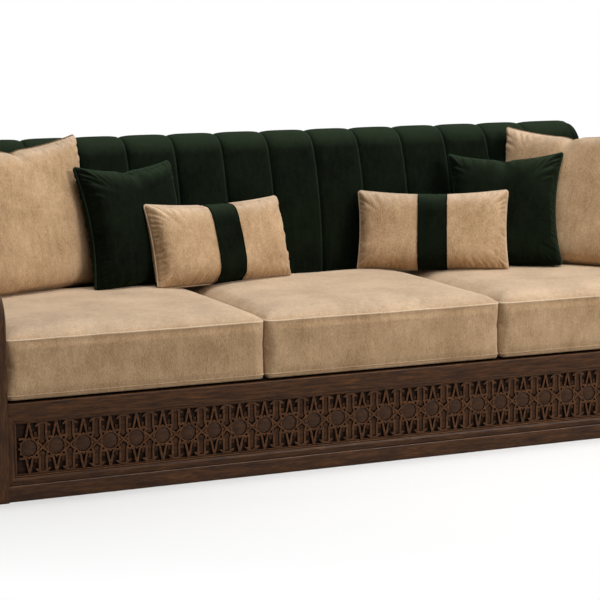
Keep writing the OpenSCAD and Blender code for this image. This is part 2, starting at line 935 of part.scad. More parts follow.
// Two triangles over four corners, or one where two corners are the same point
function strip(q) = q[0] == q[3] ? [[q[0], q[1], q[2]]]
    : q[0] == q[1] ? [[q[0], q[2], q[3]]]
    : q[1] == q[2] ? [[q[0], q[1], q[3]]]
    : q[2] == q[3] ? [[q[0], q[1], q[2]]]
    : [[q[0], q[1], q[2]], [q[0], q[2], q[3]]];

// at = [x, y] of the middle of the bottom seam before the turn
module pillow_part(size, at, turn, from, to) {
    points = pillow_points(size, turn, from, to);
    lift = seat_height(pillow_points(size, turn, -1, 1), at);
    n = 2 * pillow_steps;
    m = len(pillow_columns(from, to));
    walls = [for (i = [0 : m - 2]) for (j = [0 : n - 1])
        let (a = i * n + j, b = i * n + (j + 1) % n)
            each [[a, b, a + n], [b, b + n, a + n]]];
    ends = [for (j = [0 : pillow_steps - 1])
        let (front = j, front_up = j + 1, rear = (n - j) % n, rear_up = n - j - 1, last = (m - 1) * n)
            each concat(strip([front, rear, rear_up, front_up]),
                strip([last + front, last + front_up, last + rear_up, last + rear]))];
    translate([at[0], at[1], piping_z + pillow_gap + lift])
        polyhedron(points, concat(walls, ends), convexity = 4);
}

// Where the pillows stand: in from the nearer arm, and forward of the back's face
tan_left_in = 253.3;     // tan left pillow, in from the arm
tan_left_out = 112.6;    // and forward of the back
green_left_in = 597.1;   // green left pillow, in from the arm
green_left_out = 110.0;  // and forward of the back
lumbar_left_in = 835.6;  // lumbar left pillow, in from the arm
lumbar_left_out = 163.7; // and forward of the back
tan_right_in = 271.7;    // tan right pillow, in from the arm
tan_right_out = 227.9;   // and forward of the back
green_right_in = 458.4;  // green right pillow, in from the arm
green_right_out = 217.4; // and forward of the back
lumbar_right_in = 689.2; // lumbar right pillow, in from the arm
lumbar_right_out = 181.7; // and forward of the back
tan_left_at = [tan_left_in - half_w, back_front - tan_left_out];
green_left_at = [green_left_in - half_w, back_front - green_left_out];
lumbar_left_at = [lumbar_left_in - half_w, back_front - lumbar_left_out];
tan_right_at = [half_w - tan_right_in, back_front - tan_right_out];
green_right_at = [half_w - green_right_in, back_front - green_right_out];
lumbar_right_at = [half_w - lumbar_right_in, back_front - lumbar_right_out];

// How they are turned: about the vertical, leaning back, rolled; in degrees
tan_left_turn = [21.1, 11.5, 1.1];
green_left_turn = [20.8, 15.3, -0.6];
lumbar_left_turn = [10.1, 18.7, -0.3];
tan_right_turn = [-57.4, 18.8, 0.9];
green_right_turn = [-35.9, 22.4, 2.0];
lumbar_right_turn = [-30.3, 19.1, 0.9];
band_share = band_w / lumbar_w;

module tan_pillow_left() {
    color(tan_velvet)
        pillow_part(tan_size, tan_left_at, tan_left_turn, -1, 1);
}

module tan_pillow_right() {
    color(tan_velvet)
        pillow_part(tan_size, tan_right_at, tan_right_turn, -1, 1);
}

module green_pillow_left() {
    color(green_velvet)
        pillow_part(green_size, green_left_at, green_left_turn, -1, 1);
}

module green_pillow_right() {
    color(green_velvet)
        pillow_part(green_size, green_right_at, green_right_turn, -1, 1);
}

module lumbar_ends(at, turn) {
    pillow_part(lumbar_size, at, turn, -1, -band_share);
    pillow_part(lumbar_size, at, turn, band_share, 1);
}

module lumbar_left() {
    color(tan_velvet)
        lumbar_ends(lumbar_left_at, lumbar_left_turn);
}

module lumbar_right() {
    color(tan_velvet)
        lumbar_ends(lumbar_right_at, lumbar_right_turn);
}

module lumbar_band_left() {
    color(green_velvet)
        pillow_part(lumbar_size, lumbar_left_at, lumbar_left_turn, -band_share, band_share);
}

module lumbar_band_right() {
    color(green_velvet)
        pillow_part(lumbar_size, lumbar_right_at, lumbar_right_turn, -band_share, band_share);
}

front_rail();
plinth_skirt();
moulding_top();
moulding_bottom();
moulding_left();
moulding_right();
panel_backing();
lattice_relief();
star_lattice();
star_medallions();
front_apron();
rear_apron();
end_apron_left();
end_apron_right();
cross_rail_left();
cross_rail_right();
centre_leg_left();
centre_leg_right();
rear_seat_rail();
corner_blocks();
dust_cover();
webbing_across();
webbing_along();
seat_deck();
back_stile_1();
back_stile_2();
back_stile_3();
back_stile_4();
back_top_rail();
back_board();
fluted_back();
back_end_left();
back_end_right();
outside_back();
arm_frame_left();
arm_frame_right();
arm_sill_left();
arm_sill_right();
arm_inner_left();
arm_inner_right();
arm_outer_left();
arm_outer_right();
arm_bolts();
arm_nuts();
seat_cushion_left();
seat_cushion_middle();
seat_cushion_right();
tan_pillow_left();
tan_pillow_right();
green_pillow_left();
green_pillow_right();
lumbar_left();
lumbar_right();
lumbar_band_left();
lumbar_band_right();
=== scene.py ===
# %% [markdown]
# # A three-seat restaurant booth
# This lesson dresses a booth whose solids come from a CAD model: a walnut bench with a carved
# lattice of stars, arms bent from one strap, a fluted velvet back, three loose seat cushions and
# six loose pillows. The solids keep their places. Everything soft is made again here, as cloth.
# All sizes are in metres: +X runs to the right along the seat, +Y to the rear, and +Z up.

import math

import bmesh
import bpy
import numpy as np
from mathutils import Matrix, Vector
from mathutils.bvhtree import BVHTree


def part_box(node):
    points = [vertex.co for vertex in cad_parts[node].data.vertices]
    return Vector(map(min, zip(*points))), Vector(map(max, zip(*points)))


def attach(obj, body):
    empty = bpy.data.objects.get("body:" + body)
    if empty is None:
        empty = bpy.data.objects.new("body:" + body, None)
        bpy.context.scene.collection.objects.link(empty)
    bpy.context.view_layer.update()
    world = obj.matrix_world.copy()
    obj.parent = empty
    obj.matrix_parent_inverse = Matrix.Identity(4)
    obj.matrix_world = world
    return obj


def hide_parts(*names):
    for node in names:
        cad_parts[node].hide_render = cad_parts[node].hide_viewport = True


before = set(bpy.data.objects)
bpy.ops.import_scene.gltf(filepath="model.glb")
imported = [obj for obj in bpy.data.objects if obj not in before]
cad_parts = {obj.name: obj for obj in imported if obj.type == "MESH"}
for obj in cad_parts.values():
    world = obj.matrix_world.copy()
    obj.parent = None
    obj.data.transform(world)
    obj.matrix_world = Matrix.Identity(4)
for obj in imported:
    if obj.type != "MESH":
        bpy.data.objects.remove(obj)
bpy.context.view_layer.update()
scene = bpy.context.scene

# %% [markdown]
# ## Camera
# The camera stands where the photograph was taken: to the left of the booth, above the arms, with a
# long lens. A long lens far away keeps the three cushions almost the same size.

# %% Camera
SENSOR = 36  # mm
LENS = 124.72  # mm
CAMERA_PLACE = (-2.6102, -5.5416, 1.3708)
CAMERA_TILT = math.radians(80.953)
CAMERA_TURN = math.radians(-24.663)

camera_data = bpy.data.cameras.new("photo_camera")
camera_data.sensor_width = SENSOR
camera_data.lens = LENS
camera = bpy.data.objects.new("photo_camera", camera_data)
camera.location = CAMERA_PLACE
camera.rotation_euler = (CAMERA_TILT, 0, CAMERA_TURN)
scene.collection.objects.link(camera)
scene.camera = camera

# %% [markdown]
# ## Materials: helpers
# Every finish is a Principled BSDF whose colour, roughness and bump come from noise on Object
# coordinates, so a pattern is the same size on every piece. What more than one finish needs, such
# as the nap of velvet or the grain of wood, is a node group with named inputs and outputs.

# %% Helpers for node trees
FLOAT, VECTOR = "NodeSocketFloat", "NodeSocketVector"


def new_group(kind, name, inputs, outputs):
    """A node tree with inputs (name, socket, value) and outputs (name, socket)."""
    tree = bpy.data.node_groups.new(name, kind)
    for label, socket_kind, value in inputs:
        socket = tree.interface.new_socket(name=label, in_out="INPUT", socket_type=socket_kind)
        if value is not None:
            socket.default_value = value
    for label, socket_kind in outputs:
        tree.interface.new_socket(name=label, in_out="OUTPUT", socket_type=socket_kind)
    return tree, tree.nodes.new("NodeGroupInput"), tree.nodes.new("NodeGroupOutput")


def feed(tree, value, socket):
    """Links an output to the socket, or sets the socket to a plain value."""
    if isinstance(value, bpy.types.NodeSocket):
        tree.links.new(value, socket)
    else:
        socket.default_value = value


def set_inputs(tree, node, **inputs):
    """Feeds a node's inputs by name; an underscore stands for a space."""
    for label, value in inputs.items():
        feed(tree, value, node.inputs[label.replace("_", " ")])
    return node


def add_node(tree, kind, **inputs):
    return set_inputs(tree, tree.nodes.new(kind), **inputs)


def add_group(tree, group, **inputs):
    node = tree.nodes.new("ShaderNodeGroup")
    node.node_tree = group
    return set_inputs(tree, node, **inputs)


def math_node(tree, operation, a, b):
    node = tree.nodes.new("ShaderNodeMath")
    node.operation = operation
    feed(tree, a, node.inputs[0])
    feed(tree, b, node.inputs[1])
    return node.outputs["Value"]


def weighted_sum(tree, parts):
    """The sum of each value times its weight."""
    total = 0.0
    for value, weight in parts:
        total = math_node(tree, "ADD", total, math_node(tree, "MULTIPLY", value, weight))
    return total


# %% Helpers for materials
def noise_node(tree, vector, scale, detail, roughness):
    noise = add_node(tree, "ShaderNodeTexNoise", Vector=vector, Scale=scale, Detail=detail,
                     Roughness=roughness)
    return noise.outputs["Fac"]


def stretch_node(tree, vector, scale):
    return add_node(tree, "ShaderNodeMapping", Vector=vector, Scale=scale).outputs["Vector"]


def range_node(tree, value, low, high, to_low, to_high):
    ramp = add_node(tree, "ShaderNodeMapRange", Value=value, From_Min=low, From_Max=high,
                    To_Min=to_low, To_Max=to_high)
    return ramp.outputs["Result"]


def upward_share(tree, low, high, to_low, to_high):
    """A value set by how far the surface faces up."""
    normal = tree.nodes.new("ShaderNodeNewGeometry").outputs["Normal"]
    sides = add_node(tree, "ShaderNodeSeparateXYZ", Vector=normal)
    return range_node(tree, sides.outputs["Z"], low, high, to_low, to_high)


def mix_colour(tree, share, a, b):
    node = tree.nodes.new("ShaderNodeMix")
    node.data_type = "RGBA"
    for label, value in (("Factor", share), ("A", a), ("B", b)):
        feed(tree, (*value, 1.0) if isinstance(value, tuple) else value, node.inputs[label])
    return node.outputs["Result"]


def new_material(name):
    material = bpy.data.materials.new(name)
    material.use_nodes = True
    tree = material.node_tree
    place = tree.nodes.new("ShaderNodeTexCoord").outputs["Object"]
    return material, tree, tree.nodes["Principled BSDF"], place


def add_bump(tree, shader, height, strength, distance):
    bump = add_node(tree, "ShaderNodeBump", Height=height, Strength=strength, Distance=distance)
    tree.links.new(bump.outputs["Normal"], shader.inputs["Normal"])
    return bump


def noise_group(name, patterns):
    """A group with a noise for each (pattern, scale, detail, roughness, stretch)."""
    scales = [(f"{label} Scale", FLOAT, scale) for label, scale, *_ in patterns]
    group, given, result = new_group("ShaderNodeTree", name, [("Place", VECTOR, None), *scales],
                                     [(label, FLOAT) for label, *_ in patterns])
    for label, _, detail, roughness, stretch in patterns:
        place = given.outputs["Place"]
        if stretch:
            place = stretch_node(group, place, stretch)
        noise = noise_node(group, place, given.outputs[f"{label} Scale"], detail, roughness)
        group.links.new(noise, result.inputs[label])
    return group


# %% [markdown]
# ## Velvet
# Velvet is a pile of short fibres. Where a hand has brushed it, the pile leans another way and the
# cloth turns lighter or darker, in clouds the size of a palm and in short upright strokes. The
# group "nap" makes both, the fine crinkle of the pile, and the tufts, which only roughen it.

# %% Velvet
nap = noise_group("nap", [
    ("Cloud", 7.0, 4.0, 0.6, None),
    ("Stroke", 70.0, 5.0, 0.68, (1.0, 1.0, 0.28)),
    ("Crinkle", 250.0, 3.0, 0.62, (1.0, 1.0, 0.55)),
    ("Tuft", 520.0, 2.0, 0.6, None),
])
NAP_WEIGHTS = (("Cloud", 0.50), ("Stroke", 0.28), ("Crinkle", 0.42))
NAP_MEAN = 0.6  # of the weighted sum
PILE_WEIGHTS = (("Tuft", 0.5), ("Crinkle", 1.0))
PILE_DEPTH = 0.0020


def velvet(name, deep, bright, rim, painted_light_share, contrast):
    """The pile shows its base colour face on. A painted sheen turns it to the rim colour where it is
    seen along the cloth, and painted top light does so where it faces up.
    """
    material, tree, shader, place = new_material(name)
    pile = add_group(tree, nap, Place=place)
    blend = weighted_sum(tree, [(pile.outputs[label], weight) for label, weight in NAP_WEIGHTS])
    brushed = range_node(tree, blend, NAP_MEAN - contrast, NAP_MEAN + contrast, 0.0, 1.0)
    # Painted light: a painted sheen at grazing view, and painted top light on faces that look up,
    # both mix in the rim colour.
    facing = add_node(tree, "ShaderNodeLayerWeight", Blend=0.5)
    grazing = math_node(tree, "POWER", facing.outputs["Facing"], 3.0)
    along = math_node(tree, "MULTIPLY", grazing, painted_light_share * 0.6)
    above = upward_share(tree, 0.4, 0.95, 0.0, painted_light_share * 0.4)
    edge = math_node(tree, "MAXIMUM", along, above)
    set_inputs(
        tree, shader,
        Base_Color=mix_colour(tree, edge, mix_colour(tree, brushed, deep, bright), rim),
        Roughness=range_node(tree, pile.outputs["Stroke"], 0.3, 0.7, 0.98, 0.85),
        Specular_IOR_Level=0.06,
        Sheen_Weight=0.04,
        Sheen_Roughness=0.3,
        Sheen_Tint=(*rim, 1.0),
    )
    height = weighted_sum(tree, [(pile.outputs[label], weight) for label, weight in PILE_WEIGHTS])
    add_bump(tree, shader, height, 0.5, PILE_DEPTH)
    return material


# The rim colour and its share set each velvet's painted sheen and painted top light.
tan_velvet = velvet("tan_velvet", (0.318, 0.197, 0.102), (0.548, 0.374, 0.222),
                    (0.74, 0.65, 0.55), 0.60, 0.13)
green_velvet = velvet("green_velvet", (0.0012, 0.0025, 0.0009), (0.0055, 0.0096, 0.0040),
                      (0.036, 0.056, 0.030), 1.0, 0.13)
band_edge = velvet("band_edge", (0.001, 0.002, 0.001), (0.003, 0.005, 0.003),
                   (0.01, 0.02, 0.012), 0.3, 0.17)
# The tan piping is lighter than the tan velvet, as a painted highlight along the top seams.
tan_piping = velvet("tan_piping", (0.46, 0.32, 0.20), (0.66, 0.50, 0.34),
                    (0.8, 0.68, 0.54), 0.7, 0.16)
cord_velvet = velvet("cord_velvet", (0.10, 0.060, 0.032), (0.24, 0.155, 0.088),
                     (0.34, 0.25, 0.17), 0.3, 0.16)
# The green piping is lighter than the green velvet, as a painted highlight along the seams of the
# back and the pillows' welts.
green_piping = velvet("green_piping", (0.008, 0.015, 0.009), (0.020, 0.036, 0.022),
                      (0.07, 0.11, 0.075), 0.8, 0.17)

# %% [markdown]
# ## Walnut
# Walnut has long dark streaks along each board and short open pores. The group "grain" gets a place
# that is stretched along the board. The lattice is cut from such boards, so it keeps the grain of a
# rail. A node group lightens the edges, by comparing the surface with a softly bevelled one: partly
# wear that hands rub light, partly a painted highlight where an edge catches the light. Corners get
# painted shade: an occlusion node in each wood asks how much of the space nearby is open.

# %% Groups for wood
grain = noise_group("grain", [
    ("Streak", 110.0, 5.0, 0.62, None),
    ("Pore", 320.0, 2.0, 0.6, None),
])
SHADER_SAMPLES = 4
# how far the painted shade in corners reaches
PAINTED_SHADE_REACH = 0.012


def edge_group():
    tree, given, result = new_group("ShaderNodeTree", "worn_edges",
                                    [("Edge Radius", FLOAT, 0.0012)],
                                    [("Worn", FLOAT), ("Soft Normal", VECTOR)])
    soft = add_node(tree, "ShaderNodeBevel", Radius=given.outputs["Edge Radius"])
    soft.samples = SHADER_SAMPLES
    turn = tree.nodes.new("ShaderNodeVectorMath")
    turn.operation = "DOT_PRODUCT"
    tree.links.new(soft.outputs["Normal"], turn.inputs[0])
    tree.links.new(tree.nodes.new("ShaderNodeNewGeometry").outputs["Normal"], turn.inputs[1])
    # The edges are lightened: partly wear, partly a painted highlight where they catch the light.
    worn = range_node(tree, turn.outputs["Value"], 0.98, 0.80, 0.0, 1.0)
    set_inputs(tree, result, Worn=worn, Soft_Normal=soft.outputs["Normal"])
    return tree


worn_edges = edge_group()


# %% Walnut and the plain woods
def wood(name, along, colours, roughness, coat, edge=0.0012, wear_and_highlight=0.5, rubbed_and_highlit=None):
    """Grain along the board, light edges from wear and painted highlight, painted shade in corners,
    wiped smooth on top.
    """
    material, tree, shader, place = new_material(name)
    fibres = add_group(tree, grain, Place=stretch_node(tree, place, along))
    edges = add_group(tree, worn_edges, Edge_Radius=edge)
    # Painted shade: the colour darkens in corners and recesses, by how much of the space nearby is
    # open.
    corner = add_node(tree, "ShaderNodeAmbientOcclusion", Distance=PAINTED_SHADE_REACH)
    corner.samples = SHADER_SAMPLES
    painted_shade_factor = range_node(tree, corner.outputs["AO"], 0.3, 0.93, 0.12, 1.0)
    streaks = range_node(tree, fibres.outputs["Streak"], 0.33, 0.67, 0.0, 1.0)
    pores = range_node(tree, fibres.outputs["Pore"], 0.35, 0.52, 0.35, 1.0)
    board = mix_colour(tree, math_node(tree, "MULTIPLY", streaks, pores), *colours)
    # Edges turn to this lighter colour: partly wear, partly painted highlight.
    rubbed_and_highlit = rubbed_and_highlit or tuple(channel * 2.6 + 0.004 for channel in colours[1])
    worn = math_node(tree, "MULTIPLY", edges.outputs["Worn"], wear_and_highlight)
    timber = mix_colour(tree, worn, board, rubbed_and_highlit)
    wiped = upward_share(tree, 0.5, 0.9, 1.0, 0.45)
    rough = range_node(tree, fibres.outputs["Pore"], 0.3, 0.7, roughness + 0.12, roughness - 0.06)
    set_inputs(
        tree, shader,
        Base_Color=mix_colour(tree, painted_shade_factor, (0.0, 0.0, 0.0), timber),
        Roughness=math_node(tree, "MULTIPLY", rough, wiped),
        Coat_Weight=coat,
        Coat_Roughness=0.35,
        Specular_IOR_Level=0.16,
    )
    bump = add_bump(tree, shader, math_node(tree, "ADD", pores, streaks), 0.25, 0.0006)
    tree.links.new(edges.outputs["Soft Normal"], bump.inputs["Normal"])
    return material


ALONG_X, ALONG_Y, ALONG_Z = (0.1, 1.0, 1.0), (1.0, 0.1, 1.0), (1.0, 1.0, 0.1)
ALONG_ARM = (1.0, 0.14, 0.14)
CARVED_X, DISC_X, PLY_X = (0.2, 1.0, 1.0), (0.3, 1.0, 1.0), (0.12, 1.0, 1.0)
WALNUT = ((0.0200, 0.0070, 0.0018), (0.100, 0.0385, 0.0108))
# The carving is the same walnut in lit and shaded copies: lighter on the raised straps as painted
# light, darker on the lower relief and the discs, and darkest on the ground behind, as painted
# shade.
CARVED_LIT = ((0.038, 0.0142, 0.0044), (0.125, 0.0500, 0.0180))
DISC_SHADED = ((0.024, 0.0090, 0.0028), (0.070, 0.0280, 0.0098))
LOW_CARVING_SHADED = ((0.024, 0.0090, 0.0028), (0.080, 0.0320, 0.0110))
GROUND_SHADED = ((0.0120, 0.0046, 0.0015), (0.0320, 0.0128, 0.0044))
PALE = ((0.36, 0.23, 0.12), (0.60, 0.43, 0.25))

walnut_x = wood("walnut_along_x", ALONG_X, WALNUT, 0.5, 0.06)
# The frame and the skirt get wider, stronger light edges. The skirt's pale edge colour is a painted
# highlight line along its top edge, on top of wear.
walnut_frame = wood("walnut_frame", ALONG_X, WALNUT, 0.5, 0.06, edge=0.0020, wear_and_highlight=0.9)
walnut_skirt = wood("walnut_skirt", ALONG_X, WALNUT, 0.45, 0.1, edge=0.0024, wear_and_highlight=1.0,
                    rubbed_and_highlit=(0.50, 0.37, 0.29))
walnut_z = wood("walnut_along_z", ALONG_Z, WALNUT, 0.5, 0.06)
walnut_y = wood("walnut_along_y", ALONG_Y, WALNUT, 0.5, 0.06)
walnut_arm = wood("walnut_along_arm", ALONG_ARM, WALNUT, 0.46, 0.1)
walnut_carved = wood("walnut_carved", CARVED_X, CARVED_LIT, 0.5, 0.05, edge=0.0016, wear_and_highlight=0.8)
walnut_disc = wood("walnut_disc", DISC_X, DISC_SHADED, 0.45, 0.05, edge=0.0016)
walnut_low = wood("walnut_low_carving", CARVED_X, LOW_CARVING_SHADED, 0.6, 0.0, edge=0.0016)
walnut_shaded = wood("walnut_ground", CARVED_X, GROUND_SHADED, 0.75, 0.0)
plywood = wood("plywood", PLY_X, PALE, 0.7, 0.0)

# %% Cloth under the bench, webbing and steel
weave = noise_group("weave", [("Mesh", 300.0, 2.0, 0.5, None)])


def plain_cloth(name, deep, bright, scale):
    material, tree, shader, place = new_material(name)
    mesh = add_group(tree, weave, Place=place, Mesh_Scale=scale).outputs["Mesh"]
    share = range_node(tree, mesh, 0.35, 0.65, 0.0, 1.0)
    set_inputs(tree, shader, Base_Color=mix_colour(tree, share, deep, bright), Roughness=0.9)
    add_bump(tree, shader, mesh, 0.3, 0.0008)
    return material


def plated_steel(name, deep, bright):
    material, tree, shader, place = new_material(name)
    spot = noise_node(tree, place, 160.0, 3.0, 0.6)
    set_inputs(tree, shader, Base_Color=mix_colour(tree, spot, deep, bright), Metallic=1.0,
               Roughness=range_node(tree, spot, 0.3, 0.7, 0.28, 0.45))
    return material


black_cloth = plain_cloth("black_cloth", (0.012, 0.012, 0.012), (0.028, 0.028, 0.028), 300.0)
# The deck cloth is nearly black: its own dark colour, darkened further as painted shade in the gap
# under the cushions.
deck_cloth = plain_cloth("deck_cloth", (0.004, 0.004, 0.003), (0.010, 0.009, 0.008), 260.0)
elastic = plain_cloth("elastic", (0.20, 0.20, 0.18), (0.36, 0.36, 0.33), 420.0)
steel = plated_steel("zinc_plated_steel", (0.42, 0.43, 0.44), (0.62, 0.63, 0.64))


# %% Finish of each solid that stays
def both_sides(*names):
    return [f"{name}_{side}" for name in names for side in ("left", "right")]


FINISHES = {
    walnut_x: ["rear_apron"],
    walnut_frame: ["front_rail", "moulding_top", "moulding_bottom"],
    walnut_skirt: ["plinth_skirt"],
    walnut_z: both_sides("moulding"),
    walnut_arm: both_sides("arm_frame"),
    walnut_y: both_sides("arm_sill", "arm_inner", "arm_outer"),
    walnut_carved: ["star_lattice"],
    walnut_disc: ["star_medallions"],
    walnut_low: ["lattice_relief"],
    walnut_shaded: ["panel_backing"],
    plywood: ["front_apron", *both_sides("end_apron", "cross_rail", "centre_leg"), "rear_seat_rail",
              "corner_blocks", *(f"back_stile_{k}" for k in (1, 2, 3, 4)), "back_top_rail",
              "back_board"],
    black_cloth: ["dust_cover"],
    elastic: ["webbing_across", "webbing_along"],
    steel: ["arm_bolts", "arm_nuts"],
}
for material, node_names in FINISHES.items():
    for node_name in node_names:
        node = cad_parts[node_name]
        node.data.materials.clear()
        node.data.materials.append(material)
print("finished solids:", sum(len(names) for names in FINISHES.values()))

# %% [markdown]
# ## Meshes: helpers
# A soft piece is a mesh whose points are worked out with numpy. `make_piece` makes the object, and
# `settle_piece` hangs it on the empty of the body that it rides on and hides the solids it stands
# for.


# %% Helpers for meshes
def shade_smooth(mesh):
    mesh.polygons.foreach_set("use_smooth", [True] * len(mesh.polygons))


def add_object(name, data):
    piece = bpy.data.objects.new(name, data)
    scene.collection.objects.link(piece)
    return piece


def make_piece(name, points, faces, material):
    mesh = bpy.data.meshes.new(name)
    mesh.from_pydata([tuple(p) for p in points], [], [tuple(f) for f in faces])
    mesh.validate()
    mesh.update()
    mesh.materials.append(material)
    shade_smooth(mesh)
    return add_object(name, mesh)


def settle_piece(piece, body, nodes=()):
    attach(piece, body)
    if nodes:
        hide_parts(*nodes)


def evaluated(piece):
    bpy.context.view_layer.update()
    return piece.evaluated_get(bpy.context.evaluated_depsgraph_get())


def bake_modifiers(piece):
    mesh = bpy.data.meshes.new_from_object(evaluated(piece))
    piece.modifiers.clear()
    piece.data = mesh


def mesh_points(piece):
    points = np.empty(len(piece.data.vertices) * 3)
    piece.data.vertices.foreach_get("co", points)
    return points.reshape(-1, 3)


def move_points(piece, points):
    piece.data.vertices.foreach_set("co", np.asarray(points, float).ravel())
    piece.data.update()


def turn_faces_out(piece, weld=None):
    """Makes every face point outwards; points closer than weld are merged first."""
    edit = bmesh.new()
    edit.from_mesh(piece.data)
    if weld:
        bmesh.ops.remove_doubles(edit, verts=edit.verts, dist=weld)
    bmesh.ops.recalc_face_normals(edit, faces=edit.faces)
    edit.to_mesh(piece.data)
    edit.free()


def grid_faces(rows, n, closed=False):
    """Squares between rows of n points each; closed rows are rings."""
    return [(i * n + j, i * n + (j + 1) % n, (i + 1) * n + (j + 1) % n, (i + 1) * n + j)
            for i in range(rows - 1) for j in range(n if closed else n - 1)]


def fan_faces(first, n, tip, reverse=False):
    """Triangles between a tip and the ring of n points that starts at first."""
    pairs = [(first + j, first + (j + 1) % n) for j in range(n)]
    return [(b, a, tip) if reverse else (a, b, tip) for a, b in pairs]


def mesh_tree(piece):
    mesh = piece.data
    return BVHTree.FromPolygons([v.co for v in mesh.vertices], [p.vertices for p in mesh.polygons])


def snap(tree, path, out=0.0):
    """Moves each point to the nearest place on the meshed surface, then out along its normal."""
    snapped = []
    for point in path:
        place, normal, _, _ = tree.find_nearest(Vector(point))
        snapped.append(place + normal * out)
    return np.array(snapped)


def ripple(points, scale, seed):
    """Smooth noise between -1 and 1: a sum of waves whose directions come from the seed."""
    random = np.random.default_rng(seed)
    total = np.zeros(len(points))
    for _ in range(9):
        direction = random.normal(size=3)
        direction *= scale * random.uniform(0.6, 1.5) / np.linalg.norm(direction)
        total += np.sin(points @ direction * 2 * math.pi + random.uniform(0, 2 * math.pi))
    return total / 4.5


# %% [markdown]
# ## Piping
# Each cushion is edged with piping: a cord sewn into a strip of its own velvet. Its shape follows a
# path, so Geometry Nodes make it. The profile is a circle with three shallow lobes, and a tilt that
# grows along the path twists them into the strands of a cord. With no lobes it is plain piping.


# %% Helpers for Geometry Nodes
def geometry_tree(name, inputs):
    """A tree with a Geometry, a Material and the given inputs, and a Geometry to put out."""
    inputs = [("Geometry", "NodeSocketGeometry", None), *inputs,
              ("Material", "NodeSocketMaterial", None)]
    return new_group("GeometryNodeTree", name, inputs, [("Geometry", "NodeSocketGeometry")])


def end_tree(tree, given, result, shape):
    """Makes the shape real and smooth, gives it the material and puts it out."""
    realize = add_node(tree, "GeometryNodeRealizeInstances", Geometry=shape)
    smooth = add_node(tree, "GeometryNodeSetShadeSmooth", Geometry=realize.outputs["Geometry"])
    paint = add_node(tree, "GeometryNodeSetMaterial", Geometry=smooth.outputs["Geometry"],
                     Material=given.outputs["Material"])
    tree.links.new(paint.outputs["Geometry"], result.inputs["Geometry"])


def run_nodes(piece, tree, **values):
    """Runs the tree on the piece and puts the plain mesh that it makes in the piece's place."""
    modifier = piece.modifiers.new("nodes", "NODES")
    modifier.node_group = tree
    for item in tree.interface.items_tree:
        key = item.name.lower().replace(" ", "_")
        if item.in_out == "INPUT" and key in values:
            modifier[item.identifier] = values[key]
    made = add_object(piece.name + "_made", bpy.data.meshes.new_from_object(evaluated(piece)))
    bpy.data.objects.remove(piece)
    return made


# %% Geometry Nodes tree for piping
LOBES = 3
PROFILE_POINTS = 9


def piping_tree():
    tree, given, result = geometry_tree("piping", [
        ("Radius", FLOAT, 0.003), ("Lobe Depth", FLOAT, 0.0), ("Turns", FLOAT, 0.0),
        ("Step", FLOAT, 0.006),
    ])
    resample = tree.nodes.new("GeometryNodeResampleCurve")
    resample.mode = "LENGTH"
    set_inputs(tree, resample, Curve=given.outputs["Geometry"], Length=given.outputs["Step"])
    along = tree.nodes.new("GeometryNodeSplineParameter").outputs["Factor"]
    turned_so_far = math_node(tree, "MULTIPLY", along, given.outputs["Turns"])
    tilt = add_node(tree, "GeometryNodeSetCurveTilt", Curve=resample.outputs["Curve"],
                    Tilt=math_node(tree, "MULTIPLY", turned_so_far, 2 * math.pi))
    profile = add_node(tree, "GeometryNodeCurvePrimitiveCircle", Resolution=PROFILE_POINTS,
                       Radius=given.outputs["Radius"])
    count = tree.nodes.new("GeometryNodeInputIndex").outputs[0]
    angle = math_node(tree, "MULTIPLY", count, 2 * math.pi / LOBES)
    hollow = math_node(tree, "SUBTRACT", 1.0, math_node(tree, "COSINE", angle, 0.0))
    hollow = math_node(tree, "MULTIPLY", hollow, 0.5)
    hollow = math_node(tree, "MULTIPLY", hollow, given.outputs["Lobe Depth"])
    scaled = tree.nodes.new("ShaderNodeVectorMath")
    scaled.operation = "SCALE"
    tree.links.new(tree.nodes.new("GeometryNodeInputPosition").outputs[0], scaled.inputs[0])
    set_inputs(tree, scaled, Scale=math_node(tree, "SUBTRACT", 1.0, hollow))
    lobes = add_node(tree, "GeometryNodeSetPosition", Geometry=profile.outputs["Curve"],
                     Position=scaled.outputs[0])
    sweep = add_node(tree, "GeometryNodeCurveToMesh", Curve=tilt.outputs["Curve"],
                     Profile_Curve=lobes.outputs["Geometry"], Fill_Caps=True)
    end_tree(tree, given, result, sweep.outputs["Mesh"])
    return tree


PIPING = piping_tree()


def make_piping(name, path, radius, material, turns=0, lobe_depth=0.0, step=0.006, closed=True):
    curve = bpy.data.curves.new(name + "_path", "CURVE")
    curve.dimensions = "3D"
    curve.twist_mode = "Z_UP"
    spline = curve.splines.new("POLY")
    spline.points.add(len(path) - 1)
    spline.points.foreach_set("co", np.column_stack([path, np.ones(len(path))]).ravel())
    spline.use_cyclic_u = closed
    made = run_nodes(add_object(name + "_path", curve), PIPING, radius=radius, material=material,
                     lobe_depth=lobe_depth, turns=float(turns), step=step)
    made.name = name
    turn_faces_out(made, weld=1e-6)
    shade_smooth(made.data)
    return made


# %% [markdown]
# ## Cloth
# Cushions and pillows are blown up from inside by Blender's cloth simulation: pressure with no
# gravity, for a few frames, and then the result is kept as a plain mesh. How far a point of a
# cushion may move is capped, so it stays in the space that its solid holds.


